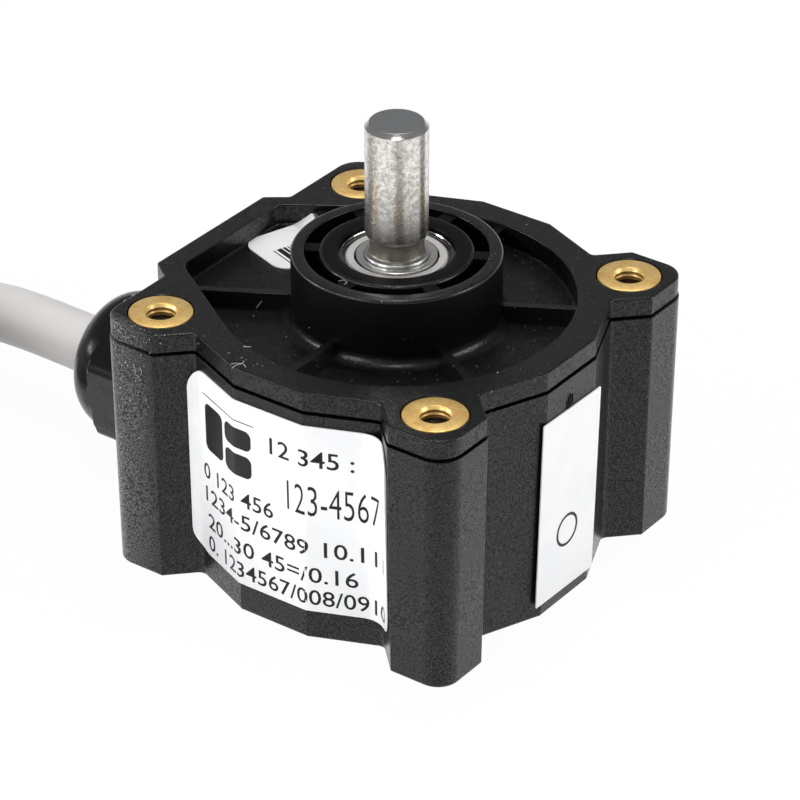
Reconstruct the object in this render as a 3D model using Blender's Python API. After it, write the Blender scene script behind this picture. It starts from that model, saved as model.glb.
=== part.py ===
"""Incremental rotary encoder: 40 mm plastic case, 6 mm shaft, side cable gland.

Frame: +Z along the shaft, origin on the shaft axis at the case's base.
The cable gland points along -X.
"""

import math

import bmesh
import bpy
from mathutils import Matrix, Vector

MM = 0.001

# Case outline, seen along the shaft
CASE_WIDTH = 40.0 * MM
CASE_SIDES = 16
EAR_WIDTH = 9.26 * MM
EAR_TIP_RADIUS = 2.6 * MM
EAR_TIP_STEPS = 4
BULGE_WIDTH = 16.6 * MM
BULGE_DEPTH = 2.15 * MM
BULGE_CHAMFER = 1.6 * MM
BULGE_OFFSET = -0.4 * MM

# Case heights
SEAM_HEIGHT = 24.77 * MM
SEAM_GAP = 0.3 * MM
COVER_RIM_HEIGHT = 1.9 * MM
DRAFT = 0.35 * MM
COVER_STEP_IN = 0.1 * MM
BASE_THICKNESS = 1.8 * MM

# Recess in the cover, around the boss
POCKET_SIDE_WALL = 2.95 * MM
POCKET_SPREAD = math.radians(123.0)
POCKET_END_WALL = 2.35 * MM
POCKET_CORNER = 2.0 * MM
POCKET_DEPTH = 2.23 * MM
FLOOR_THICKNESS = 2.0 * MM
RIB_COUNT = 6
RIB_WIDTH = 0.8 * MM
RIB_STEP_DOWN = 0.53 * MM

# Boss with its annular slot, bridged by spokes
BOSS_WALL = 1.3 * MM
BOSS_HEIGHT = 4.77 * MM
BOSS_EDGE = 0.35 * MM
BOSS_FOOT_RADIUS = 1.1 * MM
SLOT_WIDTH = 1.36 * MM
SLOT_FLOOR = 0.9 * MM
SPOKE_WIDTH = 1.5 * MM
SPOKE_STEP_DOWN = 0.2 * MM
BEARING_SEAT_WALL = 1.29 * MM
TUBE_WALL = 1.55 * MM
LIP_OVERLAP = 0.5 * MM
LIP_THICKNESS = 0.45 * MM

# Clearances, and how far a cutter runs past a face
SEAT_GAP = 0.3 * MM
FIT_GAP = 0.05 * MM
SLIDE_GAP = 0.1 * MM
CUT_MARGIN = 1.0 * MM

# Shaft
SHAFT_RADIUS = 3.0 * MM
SHAFT_REACH = 18.17 * MM
SHAFT_CHAMFER = 0.45 * MM
NECK_RADIUS = 2.7 * MM
NECK_LENGTH = 1.75 * MM
SHOULDER_RADIUS = 3.28 * MM
SHOULDER_LENGTH = 0.3 * MM

# Bearings, two of one size
BEARING_OUTER_RADIUS = 6.0 * MM
BEARING_WIDTH = 4.0 * MM
BALL_SHARE = 0.2633
OUTER_LAND_SHARE = 0.5
INNER_LAND_SHARE = 0.82
BALL_COUNT = 6
GROOVE_GAP = 0.06 * MM
SHIELD_THICKNESS = 0.22 * MM
SHIELD_RECESS = 0.15 * MM
CAGE_WIDTH_SHARE = 0.5
CAGE_THICKNESS_SHARE = 0.7
CAGE_FINGER_ANGLE = math.radians(20.0)
CAGE_FINGER_HEIGHT = 1.3 * MM
BEARING_SPACING = 5.05 * MM

# Rings that hold the bearings
WASHER_THICKNESS = 0.18 * MM
WASHER_WAVE = 0.1 * MM
WASHER_WAVES = 3
CLIP_THICKNESS = 0.5 * MM
BORE_CLIP_DEPTH = 0.4 * MM
BORE_CLIP_REACH = 0.8 * MM
SHAFT_CLIP_DEPTH = 0.4 * MM
SHAFT_CLIP_OVERHANG = 0.3 * MM
CLIP_OPENING = math.radians(50.0)

# Code disc and its hub
DISC_RIM = 1.6 * MM
DISC_THICKNESS = 0.7 * MM
DISC_DROP = 2.26 * MM
HUB_NOSE_WALL = 1.2 * MM
HUB_CLEARANCE = 0.3 * MM
HUB_HEIGHT = 2.0 * MM
HUB_NOSE_HEIGHT = 1.2 * MM
HUB_SCREW_RADIUS = 0.9 * MM
SHAFT_END_DROP = 0.4 * MM

# Circuit board and what it carries
BOARD_CLEARANCE = 0.6 * MM
BOARD_THICKNESS = 1.2 * MM
BOARD_DROP = 2.8 * MM
BOARD_FLAT_DEPTH = 1.5 * MM
PILLAR_RADIUS = 2.4 * MM
PILLAR_INSET = 2.1 * MM
PILLAR_ANGLES = (90.0, -130.0, -30.0)
BOARD_SCREW_RADIUS = 0.95 * MM
BOARD_SCREW_HEAD_RADIUS = 1.8 * MM
BOARD_SCREW_HEAD_HEIGHT = 1.0 * MM
BOARD_SCREW_LENGTH = 6.0 * MM
SENSOR_SIZE = Vector((4.0, 5.0, 0.75)) * MM
RETICLE_SIZE = Vector((3.6, 4.4, 0.4)) * MM
EMITTER_RADIUS = 1.5 * MM
EMITTER_LENGTH = 2.2 * MM
EMITTER_STANDOFF = 0.5 * MM
HOLDER_WIDTH = 5.0 * MM
HOLDER_WALL = 1.4 * MM
HOLDER_CLEARANCE = 0.6 * MM
HOLDER_POST_GAP = 0.5 * MM
DRIVER_CHIP_SIZE = Vector((7.0, 5.0, 1.4)) * MM
DRIVER_CHIP_PLACE = Vector((7.0, 5.0)) * MM
CAPACITOR_RADIUS = 2.0 * MM
CAPACITOR_HEIGHT = 4.5 * MM
CAPACITOR_PLACE = Vector((4.0, -8.0)) * MM
CONNECTOR_SIZE = Vector((4.0, 9.0, 4.5)) * MM
CONNECTOR_INSET = 2.5 * MM

# Threaded inserts and the case screws behind them
INSERT_EDGE_DISTANCE = 4.2 * MM
INSERT_FLANGE_RADIUS = 3.05 * MM
INSERT_FLANGE_HEIGHT = 0.9 * MM
INSERT_BODY_RADIUS = 2.3 * MM
INSERT_LENGTH = 6.3 * MM
INSERT_BORE_RADIUS = 1.5 * MM
INSERT_CHAMFER = 0.3 * MM
CASE_SCREW_RADIUS = 1.35 * MM
CASE_SCREW_HEAD_RADIUS = 2.75 * MM
CASE_SCREW_HEAD_HEIGHT = 2.4 * MM
CASE_SCREW_SINK = 0.8 * MM
CASE_SCREW_GRIP = 2.0 * MM
HEX_SOCKET_RADIUS = 1.45 * MM
HEX_SOCKET_DEPTH = 1.4 * MM

# Case seal in a rebate around the cover's spigot
SPIGOT_STEP_OUT = 0.25 * MM
CAVITY_STEP_OUT = 0.55 * MM
SEAL_WIDTH = 0.75 * MM
SEAL_HEIGHT = 0.7 * MM

# Cable gland
GLAND_HEIGHT = 8.3 * MM
GLAND_OFFSET = -0.4 * MM
GLAND_THREAD_RADIUS = 5.7 * MM
GLAND_THREAD_REACH = 3.5 * MM
GLAND_COLLAR_LENGTH = 3.6 * MM
GLAND_CUP_LENGTH = 5.5 * MM
GLAND_CUP_RADIUS = 5.5 * MM
GLAND_CUP_WALL = 0.7 * MM
NUT_FLATS = 14.5 * MM
NUT_HEX_LENGTH = 6.1 * MM
NUT_DOME_LENGTH = 3.6 * MM
NUT_DOME_RADIUS = 7.3 * MM
NUT_MOUTH_RADIUS = 3.9 * MM
NUT_TURN = math.radians(-7.5)
GLAND_SEAL_LENGTH = 4.4 * MM

# Cable: route of its centre line, chosen by hand, then a coil on the floor
CABLE_RADIUS = 3.0 * MM
CABLE_INSIDE_END = 16.4 * MM
CABLE_POINT_SPACING = 6.0 * MM
CABLE_ROUTE = (
    Vector((-30.0, -0.4, 8.3)) * MM,
    Vector((-38.0, -0.4, 8.3)) * MM,
    Vector((-46.0, -0.3, 8.3)) * MM,
    Vector((-51.5, -0.2, 7.75)) * MM,
)
COIL_CENTRE = Vector((-73.0, -34.0, 0.0)) * MM
COIL_MIDDLE_RADIUS = 31.0 * MM
COIL_TURNS_WIDE = 2
COIL_TURNS_HIGH = 3

# Labels
LABEL_THICKNESS = 0.15 * MM
LABEL_LIFT = 0.06 * MM
TYPE_LABEL_BOTTOM = 3.4 * MM
TYPE_LABEL_TOP_GAP = 1.12 * MM
TYPE_LABEL_LEFT_LAP = 0.5 * MM
TYPE_LABEL_RIGHT_LAP = 3.2 * MM
SIDE_LABEL_WIDTH = 9.4 * MM
SIDE_LABEL_BOTTOM = 1.4 * MM
SIDE_LABEL_TOP_GAP = 3.12 * MM

# Recess label corners: share of the way from the boss to the recess's end, and
# share of the recess's radius sideways
RECESS_LABEL_CORNERS = (
    (0.264, -0.029),
    (0.103, 0.199),
    (0.552, 0.475),
    (0.828, 0.44),
    (0.954, 0.211),
    (0.931, 0.106),
    (0.471, -0.065),
)

# Number of flats on round pieces
LARGE_STEPS = 40
SMALL_STEPS = 16
BEARING_STEPS = 24

# Sizes that follow from the ones above
HALF_WIDTH = CASE_WIDTH / 2
POCKET_RADIUS = HALF_WIDTH - POCKET_SIDE_WALL
POCKET_END = HALF_WIDTH + BULGE_DEPTH - POCKET_END_WALL
SIDE_ANGLE = 2 * math.pi / CASE_SIDES
HOUSING_TOP = SEAM_HEIGHT - SEAM_GAP / 2
COVER_BOTTOM = SEAM_HEIGHT + SEAM_GAP / 2
FLANGE_TOP = COVER_BOTTOM + COVER_RIM_HEIGHT
POCKET_FLOOR = FLANGE_TOP - POCKET_DEPTH
FLOOR_UNDERSIDE = POCKET_FLOOR - FLOOR_THICKNESS
BOSS_TOP = FLANGE_TOP + BOSS_HEIGHT
BEARING_BORE = BEARING_OUTER_RADIUS + FIT_GAP
LIP_RADIUS = BEARING_OUTER_RADIUS - LIP_OVERLAP
TUBE_RADIUS = BEARING_BORE + TUBE_WALL
SLOT_INNER_RADIUS = BEARING_BORE + BEARING_SEAT_WALL
SLOT_OUTER_RADIUS = SLOT_INNER_RADIUS + SLOT_WIDTH
BOSS_RADIUS = SLOT_OUTER_RADIUS + BOSS_WALL
BOSS_FOOT_EDGE = BOSS_RADIUS + BOSS_FOOT_RADIUS
BEARING_SHELF = BOSS_TOP - LIP_THICKNESS
FRONT_BEARING_TOP = BEARING_SHELF - FIT_GAP
REAR_BEARING_TOP = FRONT_BEARING_TOP - BEARING_WIDTH - BEARING_SPACING
REAR_BEARING_BOTTOM = REAR_BEARING_TOP - BEARING_WIDTH
WASHER_ROOM = WASHER_THICKNESS + 2 * WASHER_WAVE + 2 * FIT_GAP
CLIP_TOP = REAR_BEARING_BOTTOM - WASHER_ROOM
CLIP_BOTTOM = CLIP_TOP - CLIP_THICKNESS
TUBE_BOTTOM = CLIP_BOTTOM - 2 * CLIP_THICKNESS
SHAFT_TOP = FLANGE_TOP + SHAFT_REACH
SHAFT_CLIP_TOP = REAR_BEARING_BOTTOM - FIT_GAP
SHAFT_CLIP_BOTTOM = SHAFT_CLIP_TOP - CLIP_THICKNESS
INNER_RING_BORE = SHAFT_RADIUS + FIT_GAP
PITCH_RADIUS = (BEARING_OUTER_RADIUS + SHAFT_RADIUS) / 2
BALL_RADIUS = (BEARING_OUTER_RADIUS - SHAFT_RADIUS) * BALL_SHARE
OUTER_LAND_RADIUS = PITCH_RADIUS + OUTER_LAND_SHARE * BALL_RADIUS
INNER_LAND_RADIUS = PITCH_RADIUS - INNER_LAND_SHARE * BALL_RADIUS
CAGE_WIDTH = CAGE_WIDTH_SHARE * (OUTER_LAND_RADIUS - INNER_LAND_RADIUS)
CAGE_MIDDLE_RADIUS = (OUTER_LAND_RADIUS + INNER_LAND_RADIUS) / 2
CAGE_ROOM = BEARING_WIDTH / 2 - SHIELD_RECESS - SHIELD_THICKNESS - BALL_RADIUS
CAGE_THICKNESS = CAGE_THICKNESS_SHARE * (CAGE_ROOM - 2 * SLIDE_GAP)
BORE_CLIP_INNER_RADIUS = BEARING_OUTER_RADIUS - BORE_CLIP_REACH
SHAFT_CLIP_RADIUS = INNER_LAND_RADIUS + SHAFT_CLIP_OVERHANG
DISC_HEIGHT = TUBE_BOTTOM - DISC_DROP
SHAFT_BOTTOM = DISC_HEIGHT - SHAFT_END_DROP
BOARD_HEIGHT = DISC_HEIGHT - BOARD_DROP
BOARD_TOP = BOARD_HEIGHT + BOARD_THICKNESS
BOARD_RADIUS = POCKET_RADIUS + CAVITY_STEP_OUT - BOARD_CLEARANCE
BOARD_CHORD = BOARD_RADIUS - BOARD_FLAT_DEPTH
PILLAR_PITCH_RADIUS = BOARD_RADIUS - PILLAR_INSET
CONNECTOR_REACH = BOARD_CHORD - CONNECTOR_INSET
HOLDER_START = TUBE_RADIUS + HOLDER_CLEARANCE
TRACK_RADIUS = HOLDER_START + HOLDER_WALL / 2 + EMITTER_RADIUS
DISC_RADIUS = TRACK_RADIUS + DISC_RIM
DISC_BORE_RADIUS = INNER_RING_BORE + HUB_NOSE_WALL
HUB_RADIUS = BEARING_OUTER_RADIUS - HUB_CLEARANCE
HUB_BOTTOM = DISC_HEIGHT + DISC_THICKNESS + FIT_GAP
GLAND_FACE = HALF_WIDTH + BULGE_DEPTH + SEAT_GAP
NUT_START = GLAND_FACE + GLAND_COLLAR_LENGTH + SEAT_GAP
NUT_END = NUT_START + NUT_HEX_LENGTH + NUT_DOME_LENGTH
CUP_END = GLAND_FACE + GLAND_COLLAR_LENGTH + GLAND_CUP_LENGTH
CABLE_HOLE_RADIUS = CABLE_RADIUS + SLIDE_GAP
TYPE_LABEL_TOP = HOUSING_TOP - TYPE_LABEL_TOP_GAP
SIDE_LABEL_TOP = HOUSING_TOP - SIDE_LABEL_TOP_GAP
INSERT_PLACE = HALF_WIDTH - INSERT_EDGE_DISTANCE
CORNERS = ((-1, -1), (1, -1), (1, 1), (-1, 1))


def clear_scene():
    for thing in list(bpy.data.objects):
        bpy.data.objects.remove(thing, do_unlink=True)


def material(name, colour, roughness, metallic=0.0):
    made = bpy.data.materials.new(name)
    made.use_nodes = True
    shader = made.node_tree.nodes["Principled BSDF"]
    shader.inputs["Base Color"].default_value = (*colour, 1.0)
    shader.inputs["Roughness"].default_value = roughness
    shader.inputs["Metallic"].default_value = metallic
    made.diffuse_color = (*colour, 1.0)
    return made


def finish(name, mesh_data, finish_material, at=Vector((0, 0, 0))):
    """Turn a bmesh into a named object and shade its round faces smooth."""
    bmesh.ops.recalc_face_normals(mesh_data, faces=mesh_data.faces)
    mesh = bpy.data.meshes.new(name)
    mesh_data.to_mesh(mesh)
    mesh_data.free()
    mesh.shade_smooth()
    mesh.set_sharp_from_angle(angle=math.radians(30.0))
    mesh.materials.append(finish_material)
    made = bpy.data.objects.new(name, mesh)
    made.location = at
    bpy.context.collection.objects.link(made)
    return made


def turned(profile, steps, turn=0.0):
    """Spin a closed outline of (radius, height) pairs round the Z axis."""
    shape = bmesh.new()
    start = Matrix.Rotation(turn, 4, "Z")
    points = [shape.verts.new(start @ Vector((r, 0.0, z))) for r, z in profile]
    edges = [shape.edges.new((a, b)) for a, b in zip(points, points[1:])]
    if min(r for r, z in profile) > 0.0:
        edges.append(shape.edges.new((points[-1], points[0])))
    bmesh.ops.spin(
        shape, geom=points + edges, cent=(0, 0, 0), axis=(0, 0, 1),
        angle=2 * math.pi, steps=steps, use_merge=True)
    bmesh.ops.remove_doubles(shape, verts=shape.verts, dist=1e-7)
    return shape


def prism(outline, bottom, top, top_outline=None):
    """Stand an outline up between two heights, with another outline at the top."""
    shape = bmesh.new()
    lower = [shape.verts.new((x, y, bottom)) for x, y in outline]
    upper = [shape.verts.new((x, y, top)) for x, y in top_outline or outline]
    shape.faces.new(lower[::-1])
    shape.faces.new(upper)
    for i, vert in enumerate(lower):
        shape.faces.new((lower[i - 1], vert, upper[i], upper[i - 1]))
    return shape


def ring_prism(outer, inner, bottom, top):
    """Stand up the band between two outlines that have as many points."""
    shape = bmesh.new()
    outside = [shape.verts.new((x, y, bottom)) for x, y in outer]
    inside = [shape.verts.new((x, y, bottom)) for x, y in inner]
    count = len(outside)
    faces = []
    for i in range(count):
        j = (i + 1) % count
        faces.append(shape.faces.new((outside[i], outside[j], inside[j], inside[i])))
    raised = bmesh.ops.extrude_face_region(shape, geom=faces)["geom"]
    upper = [part for part in raised if isinstance(part, bmesh.types.BMVert)]
    bmesh.ops.translate(shape, verts=upper, vec=(0, 0, top - bottom))
    return shape


def block(size, centre, turn=0.0):
    shape = bmesh.new()
    place = Matrix.Rotation(turn, 4, "Z") @ Matrix.Translation(centre)
    bmesh.ops.create_cube(shape, size=1.0, matrix=place @ Matrix.Diagonal((*size, 1.0)))
    return shape


def gathered(shapes):
    """Put several separate shapes into one bmesh."""
    whole = bmesh.new()
    for shape in shapes:
        carrier = bpy.data.meshes.new("carrier")
        shape.to_mesh(carrier)
        shape.free()
        whole.from_mesh(carrier)
        bpy.data.meshes.remove(carrier)
    return whole


def moved(shape, matrix):
    bmesh.ops.transform(shape, matrix=matrix, verts=shape.verts)
    return shape


def combine(base, operation, shape, name):
    """Add a boolean modifier whose operand is a hidden wire guide."""
    guide = finish(name, shape, base.data.materials[0])
    guide.hide_render = True
    guide.display_type = "WIRE"
    step = base.modifiers.new(name, "BOOLEAN")
    step.operation = operation
    step.solver = "EXACT"
    step.object = guide
    return step


def case_outline(inset=0.0):
    """Sixteen-sided case with four corner ears and the flat bulge on -X.

    The points run counter-clockwise. inset moves every face inward.
    """
    half = HALF_WIDTH - inset
    facet = half * math.tan(SIDE_ANGLE / 2)
    band = EAR_WIDTH / math.sqrt(2) - inset * math.sqrt(2)
    slope = math.tan(SIDE_ANGLE)
    near = (half + slope * facet - band) / (1 + slope)
    far = near + band
    tip = EAR_TIP_RADIUS
    middle = half - tip
    arc = [math.pi / 2 * i / EAR_TIP_STEPS for i in range(EAR_TIP_STEPS + 1)]
    ear = [(middle + tip * math.cos(a), middle + tip * math.sin(a)) for a in arc]
    right = [(half, facet), (far, near), (half, half - band)] + ear
    right += [(half - band, half), (near, far), (facet, half)]
    left = [(-x, y) for x, y in reversed(right[3:])]
    bulge_half = BULGE_WIDTH / 2 - inset
    chamfer = bulge_half + BULGE_CHAMFER
    left += [(-half, BULGE_OFFSET + chamfer)]
    left += [(-half - BULGE_DEPTH, BULGE_OFFSET + bulge_half)]
    lower_left = [(-half - BULGE_DEPTH, BULGE_OFFSET - bulge_half)]
    lower_left += [(-half, BULGE_OFFSET - chamfer)]
    lower_left += [(-x, -y) for x, y in right[3:]]
    lower_right = [(x, -y) for x, y in reversed(right)]
    return right + left + lower_left + lower_right


def inset_at(height):
    """How far the drafted case wall has moved inward at a height."""
    return DRAFT * (1.0 - height / HOUSING_TOP)


def pocket_outline(grow=0.0):
    """Circle whose sides run off along tangents to a straight end on -X."""
    radius = POCKET_RADIUS + grow
    end = POCKET_END + grow
    steps = round(LARGE_STEPS * POCKET_SPREAD / math.pi)
    points = []
    for i in range(steps + 1):
        angle = POCKET_SPREAD * (2 * i / steps - 1)
        points.append((radius * math.cos(angle), radius * math.sin(angle)))
    along = Vector((-math.sin(POCKET_SPREAD), math.cos(POCKET_SPREAD)))
    last = Vector(points[-1])
    corner = last + along * ((end + last.x) / -along.x)
    cut = POCKET_CORNER * math.tan(math.acos(-along.y) / 2)
    first = corner - along * cut
    second = corner - Vector((0.0, cut))
    between = (first + second + 2 * corner) / 4
    rounded = [tuple(first), tuple(between), tuple(second)]
    mirrored = [(x, -y) for x, y in reversed(rounded)]
    return points + rounded + mirrored


def pocket_reach(angle):
    """Distance from the axis to the pocket's wall in one direction."""
    turned_past = abs(math.remainder(angle, 2 * math.pi)) - POCKET_SPREAD
    return POCKET_RADIUS / math.cos(max(0.0, turned_past))


def quarter(centre_r, centre_z, radius_r, radius_z, start, steps=3):
    """Points on a quarter ellipse, from a start angle in degrees."""
    points = []
    for i in range(steps + 1):
        angle = math.radians(start + 90.0 * i / steps)
        points.append((centre_r + radius_r * math.cos(angle),
                       centre_z + radius_z * math.sin(angle)))
    return points


def make_housing(plastic):
    """Deep drafted cup with the corner posts, board pillars and gland hole."""
    body = finish(
        "housing_shell",
        prism(case_outline(DRAFT), 0.0, HOUSING_TOP, case_outline()), plastic)
    above = HOUSING_TOP + CUT_MARGIN
    cavity = prism(pocket_outline(CAVITY_STEP_OUT), BASE_THICKNESS, above)
    combine(body, "DIFFERENCE", cavity, "cut_cavity")
    rebate = pocket_outline(SPIGOT_STEP_OUT + SEAL_WIDTH + 2 * SEAM_GAP)
    rebate_floor = HOUSING_TOP - SEAL_HEIGHT
    combine(body, "DIFFERENCE", prism(rebate, rebate_floor, above), "cut_seal_rebate")

    pillars = []
    pillar_top = BOARD_HEIGHT - SLIDE_GAP
    pillar_root = BASE_THICKNESS / 2
    pilot_floor = BOARD_TOP - BOARD_SCREW_LENGTH - SEAT_GAP
    pilot_radius = BOARD_SCREW_RADIUS + SLIDE_GAP
    for angle in PILLAR_ANGLES:
        place = Matrix.Rotation(math.radians(angle), 4, "Z")
        place = place @ Matrix.Translation((PILLAR_PITCH_RADIUS, 0, 0))
        pillar = [(0, pillar_root), (PILLAR_RADIUS, pillar_root),
                  (PILLAR_RADIUS, pillar_top), (pilot_radius, pillar_top),
                  (pilot_radius, pilot_floor), (0, pilot_floor)]
        pillars.append(moved(turned(pillar, SMALL_STEPS), place))
    combine(body, "UNION", gathered(pillars), "add_pillars")

    head_room = CASE_SCREW_HEAD_RADIUS + SEAT_GAP
    head_floor = CASE_SCREW_SINK + CASE_SCREW_HEAD_HEIGHT + SEAT_GAP
    shank_room = CASE_SCREW_RADIUS + SEAT_GAP
    insert_room = INSERT_BODY_RADIUS + SLIDE_GAP
    insert_floor = FLANGE_TOP - INSERT_LENGTH - SEAT_GAP
    below = -1 * MM
    profile = [(0, below), (head_room, below), (head_room, head_floor),
               (shank_room, head_floor), (shank_room, insert_floor),
               (insert_room, insert_floor), (insert_room, above), (0, above)]
    posts = [
        moved(turned(profile, SMALL_STEPS),
              Matrix.Translation((sx * INSERT_PLACE, sy * INSERT_PLACE, 0)))
        for sx, sy in CORNERS]
    combine(body, "DIFFERENCE", gathered(posts), "cut_posts")

    hole = GLAND_THREAD_RADIUS + SEAT_GAP
    inside = HALF_WIDTH - GLAND_THREAD_REACH
    outside = GLAND_FACE + CUT_MARGIN
    opening = turned([(0, inside), (hole, inside), (hole, outside), (0, outside)],
                     BEARING_STEPS)
    combine(body, "DIFFERENCE", moved(opening, gland_matrix()), "cut_gland_hole")
    return body


def make_cover(plastic):
    """Flange cover: rim, recessed floor, ribs, boss, spokes and bearing tube."""
    outline = case_outline(COVER_STEP_IN)
    cover = finish("flange_cover", prism(outline, COVER_BOTTOM, FLANGE_TOP), plastic)
    spigot_top = (COVER_BOTTOM + FLANGE_TOP) / 2
    spigot = prism(pocket_outline(SPIGOT_STEP_OUT), FLOOR_UNDERSIDE, spigot_top)
    combine(cover, "UNION", spigot, "add_spigot")
    above = FLANGE_TOP + CUT_MARGIN
    combine(cover, "DIFFERENCE", prism(pocket_outline(), POCKET_FLOOR, above),
            "cut_pocket")

    through = (BEARING_BORE + TUBE_RADIUS) / 2
    below = FLOOR_UNDERSIDE - CUT_MARGIN
    centre = turned([(0, below), (through, below), (through, above), (0, above)],
                    LARGE_STEPS)
    combine(cover, "DIFFERENCE", centre, "cut_centre")

    foot_bottom = POCKET_FLOOR - FLOOR_THICKNESS / 2
    slot_floor = POCKET_FLOOR + SLOT_FLOOR
    groove_radius = BEARING_BORE + BORE_CLIP_DEPTH + SLIDE_GAP
    boss = [(BEARING_BORE, TUBE_BOTTOM), (TUBE_RADIUS, TUBE_BOTTOM),
            (TUBE_RADIUS, foot_bottom), (BOSS_FOOT_EDGE, foot_bottom)]
    foot = quarter(BOSS_FOOT_EDGE, POCKET_FLOOR + BOSS_FOOT_RADIUS,
                   BOSS_FOOT_RADIUS, BOSS_FOOT_RADIUS, 180)
    boss += reversed(foot)
    edge = BOSS_TOP - BOSS_EDGE
    boss += quarter(BOSS_RADIUS - BOSS_EDGE, edge, BOSS_EDGE, BOSS_EDGE, 0, 2)
    boss += [(SLOT_OUTER_RADIUS, BOSS_TOP), (SLOT_OUTER_RADIUS, slot_floor),
             (SLOT_INNER_RADIUS, slot_floor), (SLOT_INNER_RADIUS, BOSS_TOP),
             (LIP_RADIUS, BOSS_TOP), (LIP_RADIUS, BEARING_SHELF),
             (BEARING_BORE, BEARING_SHELF),
             (BEARING_BORE, CLIP_TOP + FIT_GAP), (groove_radius, CLIP_TOP + FIT_GAP),
             (groove_radius, CLIP_BOTTOM - FIT_GAP),
             (BEARING_BORE, CLIP_BOTTOM - FIT_GAP)]
    combine(cover, "UNION", turned(boss, LARGE_STEPS), "add_boss")

    ribs = []
    spokes = []
    rib_top = FLANGE_TOP - RIB_STEP_DOWN
    rib_bottom = POCKET_FLOOR - FLOOR_THICKNESS / 4
    spoke_top = BOSS_TOP - SPOKE_STEP_DOWN
    spoke_bottom = slot_floor - SLOT_FLOOR / 3
    slot_wall = (BOSS_RADIUS - SLOT_OUTER_RADIUS) / 3
    for i in range(RIB_COUNT):
        angle = 2 * math.pi * (i + 0.5) / RIB_COUNT
        start = BOSS_RADIUS - slot_wall
        end = pocket_reach(angle) + SPIGOT_STEP_OUT / 2
        size = (end - start, RIB_WIDTH, rib_top - rib_bottom)
        middle = ((start + end) / 2, 0, (rib_top + rib_bottom) / 2)
        ribs.append(block(size, middle, angle))
        start = SLOT_INNER_RADIUS - slot_wall
        end = SLOT_OUTER_RADIUS + slot_wall
        size = (end - start, SPOKE_WIDTH, spoke_top - spoke_bottom)
        middle = ((start + end) / 2, 0, (spoke_top + spoke_bottom) / 2)
        spokes.append(block(size, middle, angle))
    combine(cover, "UNION", gathered(ribs), "add_ribs")
    combine(cover, "UNION", gathered(spokes), "add_spokes")

    body_room = INSERT_BODY_RADIUS + SLIDE_GAP
    flange_room = INSERT_FLANGE_RADIUS + SEAT_GAP
    ledge = FLANGE_TOP - INSERT_FLANGE_HEIGHT - SEAT_GAP
    profile = [(0, below), (body_room, below), (body_room, ledge),
               (flange_room, ledge), (flange_room, above), (0, above)]
    seats = [
        moved(turned(profile, SMALL_STEPS),
              Matrix.Translation((sx * INSERT_PLACE, sy * INSERT_PLACE, 0)))
        for sx, sy in CORNERS]
    combine(cover, "DIFFERENCE", gathered(seats), "cut_insert_seats")
    return cover


def make_seal(rubber):
    inner = SPIGOT_STEP_OUT + SEAM_GAP
    outer = inner + SEAL_WIDTH
    bottom = HOUSING_TOP - SEAL_HEIGHT + SLIDE_GAP
    shape = ring_prism(pocket_outline(outer), pocket_outline(inner), bottom,
                       bottom + SEAL_HEIGHT)
    finish("case_seal", shape, rubber)


def make_inserts(brass, steel):
    """A flanged brass insert in each corner, and the screw below it."""
    under_flange = FLANGE_TOP - INSERT_FLANGE_HEIGHT
    bottom = FLANGE_TOP - INSERT_LENGTH
    mouth = INSERT_BORE_RADIUS + INSERT_CHAMFER
    insert = [(INSERT_BORE_RADIUS, bottom), (INSERT_BODY_RADIUS, bottom),
              (INSERT_BODY_RADIUS, under_flange), (INSERT_FLANGE_RADIUS, under_flange),
              (INSERT_FLANGE_RADIUS, FLANGE_TOP), (mouth, FLANGE_TOP),
              (INSERT_BORE_RADIUS, FLANGE_TOP - INSERT_CHAMFER)]
    head_top = CASE_SCREW_SINK + CASE_SCREW_HEAD_HEIGHT
    tip = bottom + CASE_SCREW_GRIP
    socket = CASE_SCREW_SINK + HEX_SOCKET_DEPTH
    screw = [(0, socket), (HEX_SOCKET_RADIUS, socket),
             (HEX_SOCKET_RADIUS, CASE_SCREW_SINK),
             (CASE_SCREW_HEAD_RADIUS, CASE_SCREW_SINK),
             (CASE_SCREW_HEAD_RADIUS, head_top), (CASE_SCREW_RADIUS, head_top),
             (CASE_SCREW_RADIUS, tip), (0, tip)]
    for number, (sx, sy) in enumerate(CORNERS, start=1):
        place = Vector((sx * INSERT_PLACE, sy * INSERT_PLACE, 0))
        finish(f"threaded_insert_{number}", turned(insert, SMALL_STEPS), brass, place)
        finish(f"case_screw_{number}", turned(screw, SMALL_STEPS), steel, place)


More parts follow.
